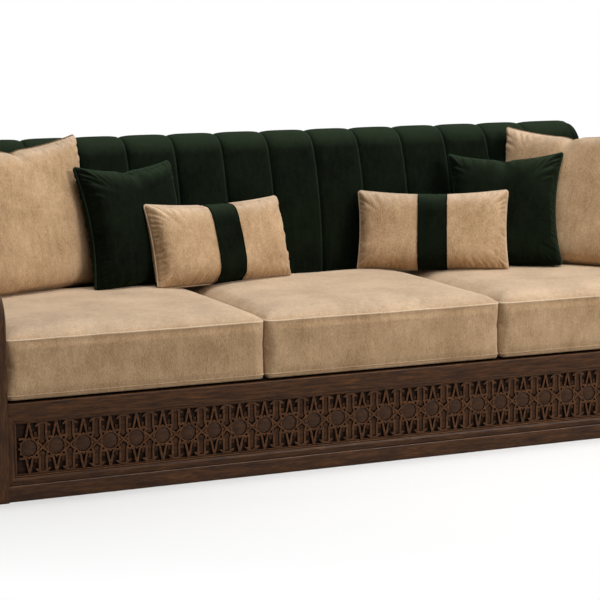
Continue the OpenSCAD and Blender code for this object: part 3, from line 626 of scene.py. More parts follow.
# %% Cloth simulation
def inflate(piece, pressure, frames, stiffness, bending, enough=None):
    """Runs the cloth, stops early when enough(points) is true, and returns the points."""
    cloth = piece.modifiers.new("cloth", "CLOTH")
    settings = cloth.settings
    settings.quality = 4
    settings.mass = 0.3
    settings.air_damping = 2.0
    settings.tension_stiffness = stiffness
    settings.compression_stiffness = stiffness
    settings.shear_stiffness = stiffness * 0.4
    settings.bending_stiffness = bending
    settings.use_pressure = True
    settings.uniform_pressure_force = pressure
    settings.effector_weights.gravity = 0
    cloth.collision_settings.use_self_collision = False
    cloth.point_cache.frame_start = 1
    cloth.point_cache.frame_end = frames
    for number in range(1, frames + 1):
        scene.frame_set(number)
        points = mesh_points(piece.evaluated_get(bpy.context.evaluated_depsgraph_get()))
        if enough is not None and enough(points):
            break
    piece.modifiers.remove(cloth)
    scene.frame_set(1)
    return points


# %% [markdown]
# ## The fluted back
# The back is velvet pulled over foam and sewn down in upright channels. It is one mesh: a profile
# in the Y-Z plane with a face that sweeps back and rolls over the crest, repeated across the back.
# Between two seams each column of points is pushed out like a cushion, and at a seam it is drawn in.

# %% Profile of the back
HALF_WIDTH = 1.1045
REAR = 0.4585
BACK_FRONT = 0.2475
DECK_TOP = 0.2677
CRUSH_TOP = 0.453  # the face is upright up to here, behind the cushions
CREST = 0.873
ROLL = 0.091
FRAME_TOP = 0.772
LEAN = math.radians(20)
END_THICKNESS = 0.0123
END_RADIUS = 0.036
SWEEP_TOP = CREST - ROLL + ROLL * math.sin(LEAN)
SWEEP = (SWEEP_TOP - CRUSH_TOP) / math.sin(LEAN)
ROLL_Y = BACK_FRONT + SWEEP * (1 - math.cos(LEAN)) + ROLL * math.cos(LEAN)
REAR_ROLL = REAR - ROLL_Y
CREST_SHARE, REAR_SHARE = 0.4, 0.3  # how deep a channel still is at the crest and at the rear
QUARTER = math.pi / 2


def back_profile():
    """Points [y, z, share of the channel's depth] up the front, over the crest, down the rear."""
    rows = [[BACK_FRONT, z, 1.0] for z in np.linspace(DECK_TOP + 0.001, CRUSH_TOP, 8)[:-1]]
    for a in np.linspace(0, LEAN, 20)[:-1]:
        rows.append([BACK_FRONT + SWEEP * (1 - math.cos(a)), CRUSH_TOP + SWEEP * math.sin(a), 1.0])
    for a in np.linspace(LEAN, QUARTER, 20)[:-1]:
        share = 1 - (1 - CREST_SHARE) * ((a - LEAN) / (QUARTER - LEAN)) ** 1.5
        rows.append([ROLL_Y - ROLL * math.cos(a), CREST - ROLL + ROLL * math.sin(a), share])
    for a in np.linspace(0, QUARTER, 12):
        share = CREST_SHARE - (CREST_SHARE - REAR_SHARE) * a / QUARTER
        rows.append([ROLL_Y + REAR_ROLL * math.sin(a), CREST - REAR_ROLL * (1 - math.cos(a)), share])
    for z in np.linspace(CREST - REAR_ROLL, FRAME_TOP, 5)[1:]:
        rows.append([REAR, z, REAR_SHARE])
    return np.array(rows)


def profile_normals(line):
    """Unit normals, out of the back, of points (y, z) that run up the front."""
    tangent = np.gradient(line, axis=0)
    outward = np.column_stack([-tangent[:, 1], tangent[:, 0]])
    return outward / np.linalg.norm(outward, axis=1)[:, None]


def end_drop(x):
    """How far the crest is rounded down at a place across the back."""
    over = max(0.0, END_RADIUS - (HALF_WIDTH - abs(x)))
    return END_RADIUS - math.sqrt(max(0.0, END_RADIUS ** 2 - over ** 2))


def end_fall(z, drop):
    """How far a point falls: nothing at the seat, and never from above the frame's top past it."""
    fall = drop * min(1.0, max(0.0, (z - CRUSH_TOP) / (SWEEP_TOP - CRUSH_TOP)))
    return min(fall, 0.9 * (z - FRAME_TOP)) if z > FRAME_TOP else fall


# %% Fluted back
FLUTE = 0.1545
FLUTES = 14
FLUTE_DEPTH = 0.0140
SEAM_DEPTH = 0.0045
SEAM_HALF_WIDTH = 0.004
PUFF_OUT = 0.0015  # how far the middle of a channel stands out
FLUTE_STEPS = (0, 0.012, 0.03, 0.055, 0.09, 0.14, 0.2, 0.28, 0.39, 0.5, 0.61, 0.72, 0.8, 0.86, 0.91,
               0.945, 0.97, 0.988)
END_STEPS = (0, 0.0012, 0.0035, 0.007, 0.0112, 0.0165)
END_PLACE = 0.08  # the columns at an end lie as if this far into a channel


def fluted_back():
    profile = back_profile()
    outward = profile_normals(profile[:, :2])
    half = HALF_WIDTH - END_THICKNESS
    seams = [-HALF_WIDTH + k * FLUTE for k in range(FLUTES)] + [HALF_WIDTH]
    columns = [(left + u * (right - left), u, right - left)
               for left, right in zip(seams[:-1], seams[1:]) for u in FLUTE_STEPS]
    columns = [column for column in columns if -half < column[0] < half]
    columns += [(side * (half - inset), END_PLACE, FLUTE) for side in (-1, 1) for inset in END_STEPS]
    columns.sort()
    points = []
    for x, u, width in columns:
        puff = 1 - abs(2 * u - 1) ** 4.2
        seam = math.exp(-((min(u, 1 - u) * width / SEAM_HALF_WIDTH) ** 2))
        depth = FLUTE_DEPTH * (1 - puff) + SEAM_DEPTH * seam - PUFF_OUT
        for (y, z, share), (ny, nz) in zip(profile, outward):
            fall = end_fall(z, end_drop(x))
            points.append((x, y - ny * depth * share, z - nz * depth * share - fall))
    points = np.array(points)
    faces = grid_faces(len(columns), len(profile))
    piece = make_piece("fluted_back_velvet", points, faces, green_velvet)
    return piece, points.reshape(len(columns), len(profile), 3), columns


back, back_grid, back_columns = fluted_back()
print("fluted back:", len(back.data.vertices), "points,", len(back_columns), "columns")
settle_piece(back, "frame", ["fluted_back"])

# %% [markdown]
# The velvet has to look sewn, so each seam gets a thin thread line sunk in it, made lighter than
# the velvet as a painted highlight along the seam. The two ends and the outside of the back are
# padded panels with rounded edges.

# %% Thread in the seams of the back
THREAD_R = 0.0012
THREAD_PROUD = 0.0004
THREAD_ROWS = slice(2, 46)  # of the profile: from just above the deck to the top of the crest


def seam_threads():
    paths = []
    for (_, u, _), column in zip(back_columns, back_grid):
        if u == 0:
            path = column.copy()
            path[:, 1:] += profile_normals(column[:, 1:]) * THREAD_PROUD
            paths.append(path[THREAD_ROWS])
    return [make_piping(f"back_seam_{k + 1}", path, THREAD_R, green_piping, step=0.02, closed=False)
            for k, path in enumerate(paths)]


threads = seam_threads()
bpy.ops.object.select_all(action="DESELECT")
for thread in threads:
    thread.select_set(True)
bpy.context.view_layer.objects.active = threads[0]
bpy.ops.object.join()
back_seams = threads[0]
back_seams.name = "back_seams"
settle_piece(back_seams, "frame")

# %% Padded panels
UPRIGHT = 0.12  # share of a panel's thickness in which its side stands straight
PANEL_RINGS = (0.8, 0.5)  # sizes of the rings on the face of a panel


def padded_panel(name, outline, across, depth, thickness, swell, fall, material):
    """A panel over an outline of pairs (a, b); across(a, b, out) gives the place of a point."""
    outline = np.array(outline)
    centre = outline.mean(axis=0)
    tangent = np.roll(outline, -1, axis=0) - np.roll(outline, 1, axis=0)
    inward = np.column_stack([-tangent[:, 1], tangent[:, 0]])
    inward /= np.linalg.norm(tangent, axis=1)[:, None]
    if (inward * (centre - outline)).sum() < 0:
        inward = -inward
    levels = [(0, 0), (0, UPRIGHT)]
    levels += [(1 - math.cos(a), UPRIGHT + (1 - UPRIGHT) * math.sin(a))
               for a in np.linspace(0, QUARTER, 6)[1:]]
    rings = [(outline + inward * inset * thickness * fall, out) for inset, out in levels]
    rings += [(centre + (outline - centre) * size, 1 + swell * (1 - size)) for size in PANEL_RINGS]
    points = [across(a, b, depth + thickness * out) for ring, out in rings for a, b in ring]
    points += [across(*centre, depth + thickness * (1.0 + swell)), across(*centre, depth)]
    n, top = len(outline), len(points) - 2
    faces = grid_faces(len(rings), n, closed=True)
    faces += fan_faces((len(rings) - 1) * n, n, top)
    faces += fan_faces(0, n, top + 1, reverse=True)
    piece = make_piece(name, points, faces, material)
    turn_faces_out(piece)
    return piece


def rectangle(low_a, low_b, high_a, high_b):
    corners = np.array([(low_a, low_b), (high_a, low_b), (high_a, high_b), (low_a, high_b)])
    return [a + (b - a) * t for a, b in zip(corners, np.roll(corners, -1, axis=0))
            for t in np.linspace(0, 1, 9)[:-1]]


# %% Padded ends, outside of the back and deck
END_PAD = 0.0118
END_SHIFT = 0.003
END_REAR = REAR - 0.001
END_DROP = end_drop(HALF_WIDTH - END_THICKNESS)

end_outline = [(y + END_SHIFT, z - end_fall(z, END_DROP)) for y, z, _ in back_profile()]
end_outline = [(y, z) for y, z in end_outline if y < END_REAR]
end_outline += [(END_REAR, end_outline[-1][1] - 0.006), (END_REAR, DECK_TOP + 0.002)]
for side, name in ((-1, "left"), (1, "right")):
    panel = padded_panel(f"back_end_{name}_velvet", end_outline,
                         lambda a, b, out, side=side: (side * out, a, b),
                         HALF_WIDTH - END_THICKNESS, END_PAD, 0.03, 2.0, green_velvet)
    settle_piece(panel, "frame", [f"back_end_{name}"])

low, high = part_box("outside_back")
rear_panel = padded_panel("outside_back_velvet", rectangle(low.x, low.z, high.x, high.z),
                          lambda a, b, out: (a, out, b),
                          low.y, high.y - low.y, 0.12, 0.8, green_velvet)
settle_piece(rear_panel, "frame", ["outside_back"])
low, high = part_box("seat_deck")
deck = padded_panel("seat_deck_cloth", rectangle(low.x, low.y, high.x, high.y),
                    lambda a, b, out: (a, b, out),
                    low.z, high.z - low.z, 0.0, 0.7, deck_cloth)
settle_piece(deck, "frame", ["seat_deck"])

# %% [markdown]
# ## Seat cushions
# A seat cushion is a block of foam in a boxed cover: a top, a bottom and a border strip that joins
# them, with piping in both joints. It is crowned, because the fibre on top of the foam is thickest
# in the middle. The form starts as stacked rings, is remeshed so that its squares are even, and is
# then blown up by the cloth simulation, which lifts the panels between the seams.

# %% Form of a seat cushion
PITCH = 2 * HALF_WIDTH / 3
CUSHION_W = PITCH - 0.0016
CUSHION_FRONT = -0.4375
CUSHION_REAR = 0.2465
CUSHION_D = CUSHION_REAR - CUSHION_FRONT
CUSHION_Y = (CUSHION_FRONT + CUSHION_REAR) / 2
CUSHION_LOW = 0.268
PIPING_Z = 0.424
BORDER = PIPING_Z - CUSHION_LOW
CUSHION_CORNER = 0.018
CROWN = 0.029
# Distance from the edge as a share of half the depth, and the share of the crown reached there
CROWN_SHARES = np.array([[0, 0], [0.009, 0.02], [0.030, 0.3], [0.065, 0.53], [0.125, 0.73],
                         [0.22, 0.89], [0.36, 0.98], [0.5, 1], [2, 1]])
CROWN_STEPS = (0.009, 0.018, 0.030, 0.046, 0.065, 0.093, 0.125, 0.17, 0.22, 0.29, 0.36, 0.43, 0.55,
               0.7, 0.85)


def crown_share(inset):
    return np.interp(inset, CROWN_SHARES[:, 0], CROWN_SHARES[:, 1])


def crown_height(x, y):
    """Height of the seat at a place, from the distance to the nearest edge of its cushion."""
    middle = np.clip(np.round(x / PITCH), -1, 1) * PITCH
    across = CUSHION_W / 2 - abs(x - middle)
    along = np.minimum(y - CUSHION_FRONT, CUSHION_REAR - y)
    return PIPING_Z + CROWN * crown_share(np.maximum(np.minimum(across, along), 0) / (CUSHION_D / 2))


def rounded_ring(half_w, half_d, radius, corner=7, side=14):
    """A rounded rectangle, with corner points round each arc and side points along each side."""
    arcs = []
    for k, (sx, sy) in enumerate(((1, 1), (-1, 1), (-1, -1), (1, -1))):
        centre = np.array([sx * (half_w - radius), sy * (half_d - radius)])
        angles = np.linspace(0, QUARTER, corner) + k * QUARTER
        arcs.append(centre + radius * np.column_stack([np.cos(angles), np.sin(angles)]))
    ring = []
    for arc, following in zip(arcs, arcs[1:] + arcs[:1]):
        ring += list(arc)
        ring += [arc[-1] + (following[0] - arc[-1]) * t for t in np.linspace(0, 1, side)[1:-1]]
    return np.array(ring)


def at_height(ring, z):
    return np.column_stack([ring, np.full(len(ring), z)])


def cushion_form(name):
    rows = [(0.0035, 0.0), (0.0012, 0.003), (0.0006, 0.010), (0.0004, BORDER * 0.5),
            (0.0006, BORDER - 0.010), (0.0014, BORDER)]
    rows += [(share * CUSHION_D / 2 + 0.0005, BORDER + CROWN * crown_share(share))
             for share in CROWN_STEPS]
    rings = [at_height(rounded_ring(CUSHION_W / 2 - inset, CUSHION_D / 2 - inset,
                                    max(0.004, CUSHION_CORNER - inset * 0.02)), z)
             for inset, z in rows]
    points = [p for ring in rings for p in ring] + [(0, 0, 0), (0, 0, BORDER + CROWN)]
    n, base, top = len(rings[0]), len(points) - 2, len(points) - 1
    faces = grid_faces(len(rings), n, closed=True)
    faces += fan_faces(0, n, base, reverse=True)
    faces += fan_faces((len(rings) - 1) * n, n, top)
    return make_piece(name, points, faces, tan_velvet)


# %% Blow up one cushion
VOXEL = 0.0062
MOST_SWELL = 0.005
SIDE_ROOM = 0.0004  # how far a cover may stand out past CUSHION_W, at each side
FRONT_ROOM = 0.003  # and past CUSHION_D, at the front


def sewn_cushion():
    piece = cushion_form("seat_cushion_form")
    remesh = piece.modifiers.new("remesh", "REMESH")
    remesh.mode = "VOXEL"
    remesh.voxel_size = VOXEL
    form = mesh_tree(piece)
    bake_modifiers(piece)
    start = snap(form, mesh_points(piece))
    move_points(piece, start)
    swollen = inflate(piece, 2.2, 12, 12.0, 0.4)
    from_seam = abs(start[:, 2] - BORDER)
    held = np.clip(from_seam / 0.03, 0.1, 1) * np.clip(start[:, 2] / 0.03, 0, 1)
    move = np.clip(swollen - start, -MOST_SWELL, MOST_SWELL) * held[:, None]
    print("cushion moved by up to", round(float(abs(move).max()) * 1000, 1), "mm")
    return piece, start + move


# %% Soften and place three cushions
WORN_WAVE, WORN_HEIGHT = 3.2, 0.0013  # waves per metre and height of the sat-in top
CORNER_WAVE, CORNER_HEIGHT = 16, 0.0006
FRONT_WAVE, FRONT_HEIGHT = 9, 0.0011
OVERHANG, OVERHANG_SAG = 0.024, 0.0045  # the front edge hangs a little over the rail


def towards_edge(along, half):
    """0 in the middle, rising to 1 over the last part of the way to the edge."""
    return np.clip((np.abs(along) / half - 0.6) / 0.4, 0, 1)


def soften_cushion(points, seed):
    """Wrinkles that a sitter leaves: shallow folds that run in from the seams and a worn crown."""
    x, y, z = points.T
    level, half_d = points * (1, 1, 0), CUSHION_D / 2
    near_seam = np.exp(-np.abs(z - BORDER) / 0.03)
    corner = towards_edge(x, CUSHION_W / 2) * towards_edge(y, half_d)
    worn = ripple(level, WORN_WAVE, seed) * WORN_HEIGHT
    crumpled = ripple(level, CORNER_WAVE, seed + 1) * CORNER_HEIGHT * (0.3 + corner)
    pushed = ripple(points, FRONT_WAVE, seed + 2) * FRONT_HEIGHT * (0.4 + near_seam)
    overhang = np.clip((OVERHANG - half_d - y) / OVERHANG, 0, 1) * np.clip(1 - z / 0.035, 0, 1)
    shaped = points.copy()
    shaped[:, 1] += np.where(y < 0.01 - half_d, pushed, 0)
    shaped[:, 2] += np.where(z > BORDER - 0.004, worn + crumpled, 0) - OVERHANG_SAG * overhang
    return shaped


cushion_mesh, cushion_points = sewn_cushion()
cushion_points[:, :2] = np.clip(cushion_points[:, :2],
                                (-CUSHION_W / 2 - SIDE_ROOM, -CUSHION_D / 2 - FRONT_ROOM),
                                (CUSHION_W / 2 + SIDE_ROOM, CUSHION_D / 2))
cushions = {}
for index, side in enumerate(("left", "middle", "right")):
    mesh = cushion_mesh.data.copy()
    cushion = add_object(f"seat_cushion_{side}_cover", mesh)
    flip = 1
    if side == "right":
        flip = -1
        mesh.flip_normals()
    shaped = soften_cushion(cushion_points * (flip, 1, 1), 40 + index)
    move_points(cushion, shaped + ((index - 1) * PITCH, CUSHION_Y, CUSHION_LOW))
    shade_smooth(mesh)
    cushions[side] = cushion
    settle_piece(cushion, f"seat_cushion_{side}", [f"seat_cushion_{side}"])
bpy.data.objects.remove(cushion_mesh)
print("seat cushion:", len(cushions["left"].data.polygons), "faces each")

# %% Piping of the seat cushions
PIPING_INSET = 0.001
PIPING_PROUD = 0.0002
# The top seam's piping is lighter, as a painted highlight; the bottom one is plain cloth.
SEAMS = (("top", PIPING_Z, 0.0028, tan_piping), ("bottom", CUSHION_LOW + 0.009, 0.0020, tan_velvet))

for index, side in enumerate(("left", "middle", "right")):
    middle = np.array([(index - 1) * PITCH, CUSHION_Y, 0])
    cover_tree = mesh_tree(cushions[side])
    for level, z, radius, cloth in SEAMS:
        ring = rounded_ring(CUSHION_W / 2 - PIPING_INSET, CUSHION_D / 2 - PIPING_INSET,
                            CUSHION_CORNER, 9, 60)
        path = snap(cover_tree, at_height(ring, z) + middle, PIPING_PROUD)
        # The piping stays as narrow as the cushion, so that it slides past the arm's strap
        reach = CUSHION_W / 2 + SIDE_ROOM - radius
        path[:, 0] = np.clip(path[:, 0], middle[0] - reach, middle[0] + reach)
        welt = make_piping(f"seat_cushion_{side}_piping_{level}", path, radius, cloth, step=0.008)
        settle_piece(welt, f"seat_cushion_{side}")

# %% [markdown]
# ## Throw pillows
# A throw pillow is two flat pieces of cloth sewn together at the edge and stuffed. When it fills,
# its sides are drawn in, its corners stay out as points, and folds run in from the seam. The cloth
# simulation starts from two flat squares joined at the rim and blows them up until they are as
# thick as the solid. Then the rim is fitted to the seam of the solid, and two formulas add what
# gives a pillow its looks at a size that can be set: the folds, and the V of a hand that struck it.
# The pillows of one kind share one simulation.

# %% Cloth of a pillow
CELL = 0.0095
START_DOME = 0.012


def pillow_grid(width, height):
    """Two sheets of squares with one rim, a little domed so that the pressure finds its way."""
    nx, nz = round(width / CELL), round(height / CELL)
    u, v = np.linspace(-1, 1, nx + 1), np.linspace(-1, 1, nz + 1)
    index = {}
    points, faces = [], []
    for side in (-1, 1):
        for i in range(nx + 1):
            for j in range(nz + 1):
                rim = i in (0, nx) or j in (0, nz)
                if rim and side == 1:
                    index[side, i, j] = index[-1, i, j]
                    continue
                index[side, i, j] = len(points)
                dome = START_DOME * (1 - u[i] ** 2) * (1 - v[j] ** 2)
                points.append((u[i] * width / 2, side * dome, v[j] * height / 2))
        for i in range(nx):
            for j in range(nz):
                quad = [index[side, i + a, j + b] for a, b in ((0, 0), (1, 0), (1, 1), (0, 1))]
                faces.append(quad if side == -1 else quad[::-1])
    return np.array(points), faces


def subdivided(points, faces, kind):
    piece = make_piece("subdivided", points, faces, tan_velvet)
    modifier = piece.modifiers.new("subdivide", "SUBSURF")
    modifier.subdivision_type = kind
    modifier.levels = modifier.render_levels = 2
    bake_modifiers(piece)
    result = mesh_points(piece).copy(), [tuple(face.vertices) for face in piece.data.polygons]
    bpy.data.objects.remove(piece)
    return result


# %% Fit of the rim
NOTCH_HALF_WIDTH = 0.022


def rim_inset(s, t, width, height, sag, notch):
    """How far the seam is drawn in at the sides and at the top; the bottom stays straight."""
    struck = notch * np.exp(-((s * width / 2 / NOTCH_HALF_WIDTH) ** 2))
    return sag * height / width * (1 - t ** 2), (sag * (1 - s ** 2) + struck) * (t > 0)


def fit_rim(full, s, t, rim, width, height, sag, notch):
    """Moves the rim to its place on the solid and carries the cloth inside along with it."""
    side, top = rim_inset(s, t, width, height, sag, notch)
    goal = np.column_stack([s * (width / 2 - side), full[:, 1] * 0, (t + 1) * height / 2 - top])
    miss = {k: goal[k] - full[k] for k in rim}
    edges = {}
    for k in rim:
        edges.setdefault(("s", round(s[k], 6)), []).append((t[k], *miss[k][[0, 2]]))
        edges.setdefault(("t", round(t[k], 6)), []).append((s[k], *miss[k][[0, 2]]))

    def along(kind, end, where):
        rows = np.array(sorted(edges[kind, end]))
        return np.column_stack([np.interp(where, rows[:, 0], rows[:, c]) for c in (1, 2)])

    left, right = along("s", -1.0, t), along("s", 1.0, t)
    low, high = along("t", -1.0, s), along("t", 1.0, s)
    first, last = s.argmin(), s.argmax()
    u, v = ((s + 1) / 2)[:, None], ((t + 1) / 2)[:, None]
    corners = ((1 - u) * (1 - v) * low[first] + u * (1 - v) * low[last]
               + (1 - u) * v * high[first] + u * v * high[last])
    moved = full.copy()
    moved[:, [0, 2]] += (1 - u) * left + u * right + (1 - v) * low + v * high - corners
    return moved


# %% Folds, the V of a hand, and the tips
TIP_R = 0.011
FOLD_FROM_CORNER = 0.016
SEAM_FADE = 0.004  # folds start this far in from the seam


def creases(s, t, width, height, seed):
    """Depth of the folds that run in from the seam, more slanted and longer at the corners."""
    random = np.random.default_rng(seed)
    x, z = s * width / 2, t * height / 2
    depth = np.zeros(len(s))
    for near, along, reach in ((height / 2 - z, x, width / 2), (height / 2 + z, x, width / 2),
                               (width / 2 - x, z, height / 2), (width / 2 + x, z, height / 2)):
        place = FOLD_FROM_CORNER - reach
        while place < reach - FOLD_FROM_CORNER:
            edge = abs(place) / reach
            lean = -np.sign(place) * 0.9 * edge ** 2 + random.uniform(-0.22, 0.22)
            far = random.uniform(0.015, 0.032) + 0.034 * edge ** 2
            wide = 0.0030 + 0.085 * near
            line = place + lean * near
            fold = np.exp(-(((along - line) / wide) ** 2) - (near / far) ** 2)
            depth += fold * np.clip(near / SEAM_FADE, 0, 1) * random.uniform(0.0018, 0.0062)
            place += random.uniform(0.011, 0.020)
    return depth


def chop(s, t, width, height):
    """The V that a hand leaves when it strikes the top of a pillow."""
    near = (1 - t) * height / 2
    groove = np.exp(-((s * width / 2 / (0.008 + 0.34 * near)) ** 2) - near / 0.050)
    return groove * np.clip(near / SEAM_FADE, 0, 1)


def round_tips(full, width, height):
    """Rounds the four tips of the rim to TIP_R."""
    middle, half = np.array([0, height / 2]), np.array([width, height]) / 2 - TIP_R
    away = full[:, [0, 2]] - middle
    beyond = abs(away) - half
    reach = np.linalg.norm(np.maximum(beyond, 0), axis=1)
    outside = (beyond.min(axis=1) > 0) & (reach > TIP_R)
    corner = np.sign(away) * half + middle
    scaled = corner + (full[:, [0, 2]] - corner) * (TIP_R / np.maximum(reach, TIP_R))[:, None]
    full[:, [0, 2]] = np.where(outside[:, None], scaled, full[:, [0, 2]])


# %% Blow up a pillow of each kind
START_WAVE, START_HEIGHT = 14, 0.0012


def simulated(name, points, faces, thickness):
    """The cloth blown up until it is as thick as asked."""
    start = points.copy()
    start[:, 1] += ripple(points, START_WAVE, len(points)) * START_HEIGHT * (abs(points[:, 1]) > 0)
    piece = make_piece(name + "_form", start, faces, tan_velvet)
    full = inflate(piece, 9.0, 40, 9.0, 0.15, lambda p: np.ptp(p[:, 1]) > thickness)
    bpy.data.objects.remove(piece)
    print(name, "thickness", round(float(np.ptp(full[:, 1])) * 1000), "mm")
    return full


def blow_up_pillow(name, width, height, front_belly, rear_belly, sag, chop_depth):
    """Points of a stuffed pillow standing on its bottom seam, its face towards -Y."""
    points, faces = pillow_grid(width, height)
    seed = len(points)
    full = simulated(name, points, faces, front_belly + rear_belly)
    full, _ = subdivided(full, faces, "CATMULL_CLARK")
    flat, fine_faces = subdivided(points, faces, "SIMPLE")
    s, t = flat[:, 0] / (width / 2), flat[:, 2] / (height / 2)
    facing = np.sign(np.where(abs(flat[:, 1]) > 1e-7, flat[:, 1], 0))
    rim = np.flatnonzero(facing == 0)
    rim = rim[np.argsort(np.arctan2(-s[rim], t[rim]))]
    full = fit_rim(full, s, t, rim, width, height, sag, chop_depth * 0.35)
    full[:, 1] -= full[rim, 1].mean()
    # Each side takes a share of the simulated swell and a share of a block, the rear more block
    for sign, belly, square, root, form in ((-1, front_belly, 3, 2.4, 0.55),
                                            (1, rear_belly, 5, 4.2, 0.85)):
        out = sign * full[:, 1]
        share = np.clip(out / max(1e-6, out[facing == sign].max()), 0, 1)
        block = np.clip(1 - abs(s) ** square, 0, 1) ** (1 / root)
        block *= np.clip(1 - abs(t) ** 3, 0, 1) ** (1 / 2.6)
        filled = sign * belly * ((1 - form) * share ** 0.6 + form * block)
        full[:, 1] = np.where(facing == sign, filled, full[:, 1])
    full[rim, 1] = 0
    dent = creases(s, t, width, height, seed) + chop_depth * chop(s, t, width, height)
    full[:, 1] -= facing * dent
    round_tips(full, width, height)
    return full, fine_faces, rim


SIZES = {"tan": (0.495, 0.438), "green": (0.366, 0.366), "lumbar": (0.466, 0.251)}
PILLOW_FORMS = {
    kind: blow_up_pillow(kind, *SIZES[kind], *filling) for kind, filling in (
        # front belly, rear belly, sag of the seam, depth of the V
        ("tan", (0.072, 0.049, 0.030, 0.020)),
        ("green", (0.070, 0.045, 0.025, 0.018)),
        ("lumbar", (0.068, 0.045, 0.015, 0.0)),
    )
}

# %% [markdown]
# Each pillow is then turned, leaned back and set on the seat exactly where its solid stands, and
# where it would reach into the seat it is pressed flat, as a soft thing is. The rim gives the path
# of the piping: a twisted cord on the tan pillows, and a plain welt on the others.

# %% Place the pillows
PILLOWS = {  # kind, place of the foot (x, y), and yaw, lean and roll in degrees
    "tan_pillow_left": ("tan", (-0.8512, 0.1349), (21.1, 11.5, 1.1)),
    "green_pillow_left": ("green", (-0.5074, 0.1375), (20.8, 15.3, -0.6)),
    "lumbar_pillow_left": ("lumbar", (-0.2689, 0.0838), (10.1, 18.7, -0.3)),
    "tan_pillow_right": ("tan", (0.8328, 0.0196), (-57.4, 18.8, 0.9)),
    "green_pillow_right": ("green", (0.6461, 0.0301), (-35.9, 22.4, 2.0)),
    "lumbar_pillow_right": ("lumbar", (0.4153, 0.0658), (-30.3, 19.1, 0.9)),
}
BAND = 0.088
COVERS = {"tan": (tan_velvet, cord_velvet, "tan_velvet"),
          "green": (green_velvet, green_piping, "green_velvet"),
          "lumbar": (tan_velvet, tan_piping, "tan_velvet")}
CORD_R, CORD_TURNS, WELT_R = 0.0037, 150, 0.0025
SEAT_GAP = 0.0008


def turned(points, turn):
    yaw, lean, roll = (math.radians(a) for a in turn)
    x = points[:, 0] * math.cos(roll) - points[:, 2] * math.sin(roll)
    up = points[:, 0] * math.sin(roll) + points[:, 2] * math.cos(roll)
    y = points[:, 1] * math.cos(lean) + up * math.sin(lean)
    z = up * math.cos(lean) - points[:, 1] * math.sin(lean)
    return np.column_stack([x * math.cos(yaw) - y * math.sin(yaw),
                            x * math.sin(yaw) + y * math.cos(yaw), z])


def stand_pillow(name, kind, at, turn):
    """The cover, the paths of its piping and the place of its foot."""
    form, faces, rim = PILLOW_FORMS[kind]
    width, height = SIZES[kind]
    seed = sum(ord(letter) for letter in name)
    points = form.copy()
    if name.endswith("right"):
        points[:, 0] *= -1
        faces = [face[::-1] for face in faces]
    points[:, 1] += ripple(points, 2.4, seed) * 0.003 * np.clip(abs(points[:, 1]) / 0.03, 0, 1)
    tips = turned(np.array([(-width / 2, 0, height), (width / 2, 0, height)]), turn)
    solid = name if kind != "lumbar" else name.replace("pillow_", "")
    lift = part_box(solid)[1].z - tips[:, 2].max()
    points = turned(points, turn) + (*at, lift - 0.001)
    seat = crown_height(points[:, 0], points[:, 1]) + SEAT_GAP
    points[:, 2] = np.maximum(points[:, 2], seat)
    velvet_cover, _, slot = COVERS[kind]
    piece = make_piece(name + "_cover", points, faces, velvet_cover)
    settle_piece(piece, name, [solid])
    across = form[rim, 0]
    paths = [points[rim]]
    if kind == "lumbar":  # the piping stops at the band
        paths = [points[rim[side * across > BAND / 2]] for side in (-1, 1)]
    return piece, paths, Vector((*at, lift))


pillows, feet = {}, {}
for name, (kind, at, turn) in PILLOWS.items():
    pillows[name], paths, feet[name] = stand_pillow(name, kind, at, turn)
    _, welt, slot = COVERS[kind]
    for part, path in enumerate(paths):
        if kind == "tan":
            edge = make_piping(name + "_cord", path, CORD_R, welt, turns=CORD_TURNS,
                               lobe_depth=0.4, step=0.003)
        else:
            edge = make_piping(f"{name}_piping_{part + 1}", path, WELT_R, welt, step=0.005,
                               closed=len(paths) == 1)
        settle_piece(edge, name)
print("pillows:", len(pillows))

# %% [markdown]
# ## Bands of the lumbar pillows
# A strip of green velvet runs round the middle of each lumbar pillow. It is sewn on top, so it is
# the pillow's own surface between two planes, lifted by the thickness of the cloth.

# %% Bands
BAND_LIFT = 0.0024
BAND_CLOTH = 0.0016
BAND_EDGE_R = 0.0018
CUT_REACH = 0.0012  # a point this near a cut belongs to the edge of the band


def make_band(name):
    turn, centre = PILLOWS[name][2], feet[name]
    axis = Vector(turned(np.array([(1.0, 0, 0)]), turn)[0])
    up = Vector(turned(np.array([(0, 0, 1.0)]), turn)[0])
    edit = bmesh.new()
    edit.from_mesh(pillows[name].data)
    for sign in (-1, 1):
        bmesh.ops.bisect_plane(edit, geom=edit.verts[:] + edit.edges[:] + edit.faces[:],
                               plane_co=centre + axis * sign * BAND / 2, plane_no=axis * sign,
                               clear_outer=True)
    bmesh.ops.recalc_face_normals(edit, faces=edit.faces)
    edit.normal_update()
    for vertex in edit.verts:
        vertex.co += vertex.normal * BAND_LIFT
    for sign in (-1, 1):
        cut = [v.co.copy() for v in edit.verts
               if abs((v.co - centre).dot(axis) - sign * BAND / 2) < CUT_REACH]
        middle = sum(cut, Vector()) / len(cut)
        cut.sort(key=lambda p: math.atan2((p - middle).dot(up), (p - middle).dot(axis.cross(up))))
        line = make_piping(f"{name}_band_edge_{sign}", np.array(cut), BAND_EDGE_R, band_edge,
                           step=0.004)
        settle_piece(line, name)
    mesh = bpy.data.meshes.new(name + "_band")
    edit.to_mesh(mesh)
    edit.free()
    mesh.materials.clear()
    mesh.materials.append(green_velvet)
    band = add_object(name + "_band", mesh)
    solidify = band.modifiers.new("cloth_thickness", "SOLIDIFY")
    solidify.thickness = BAND_CLOTH
    solidify.offset = -1
    bake_modifiers(band)
    shade_smooth(band.data)
    settle_piece(band, name, [name.replace("pillow", "band")])


for side in ("left", "right"):
    make_band(f"lumbar_pillow_{side}")

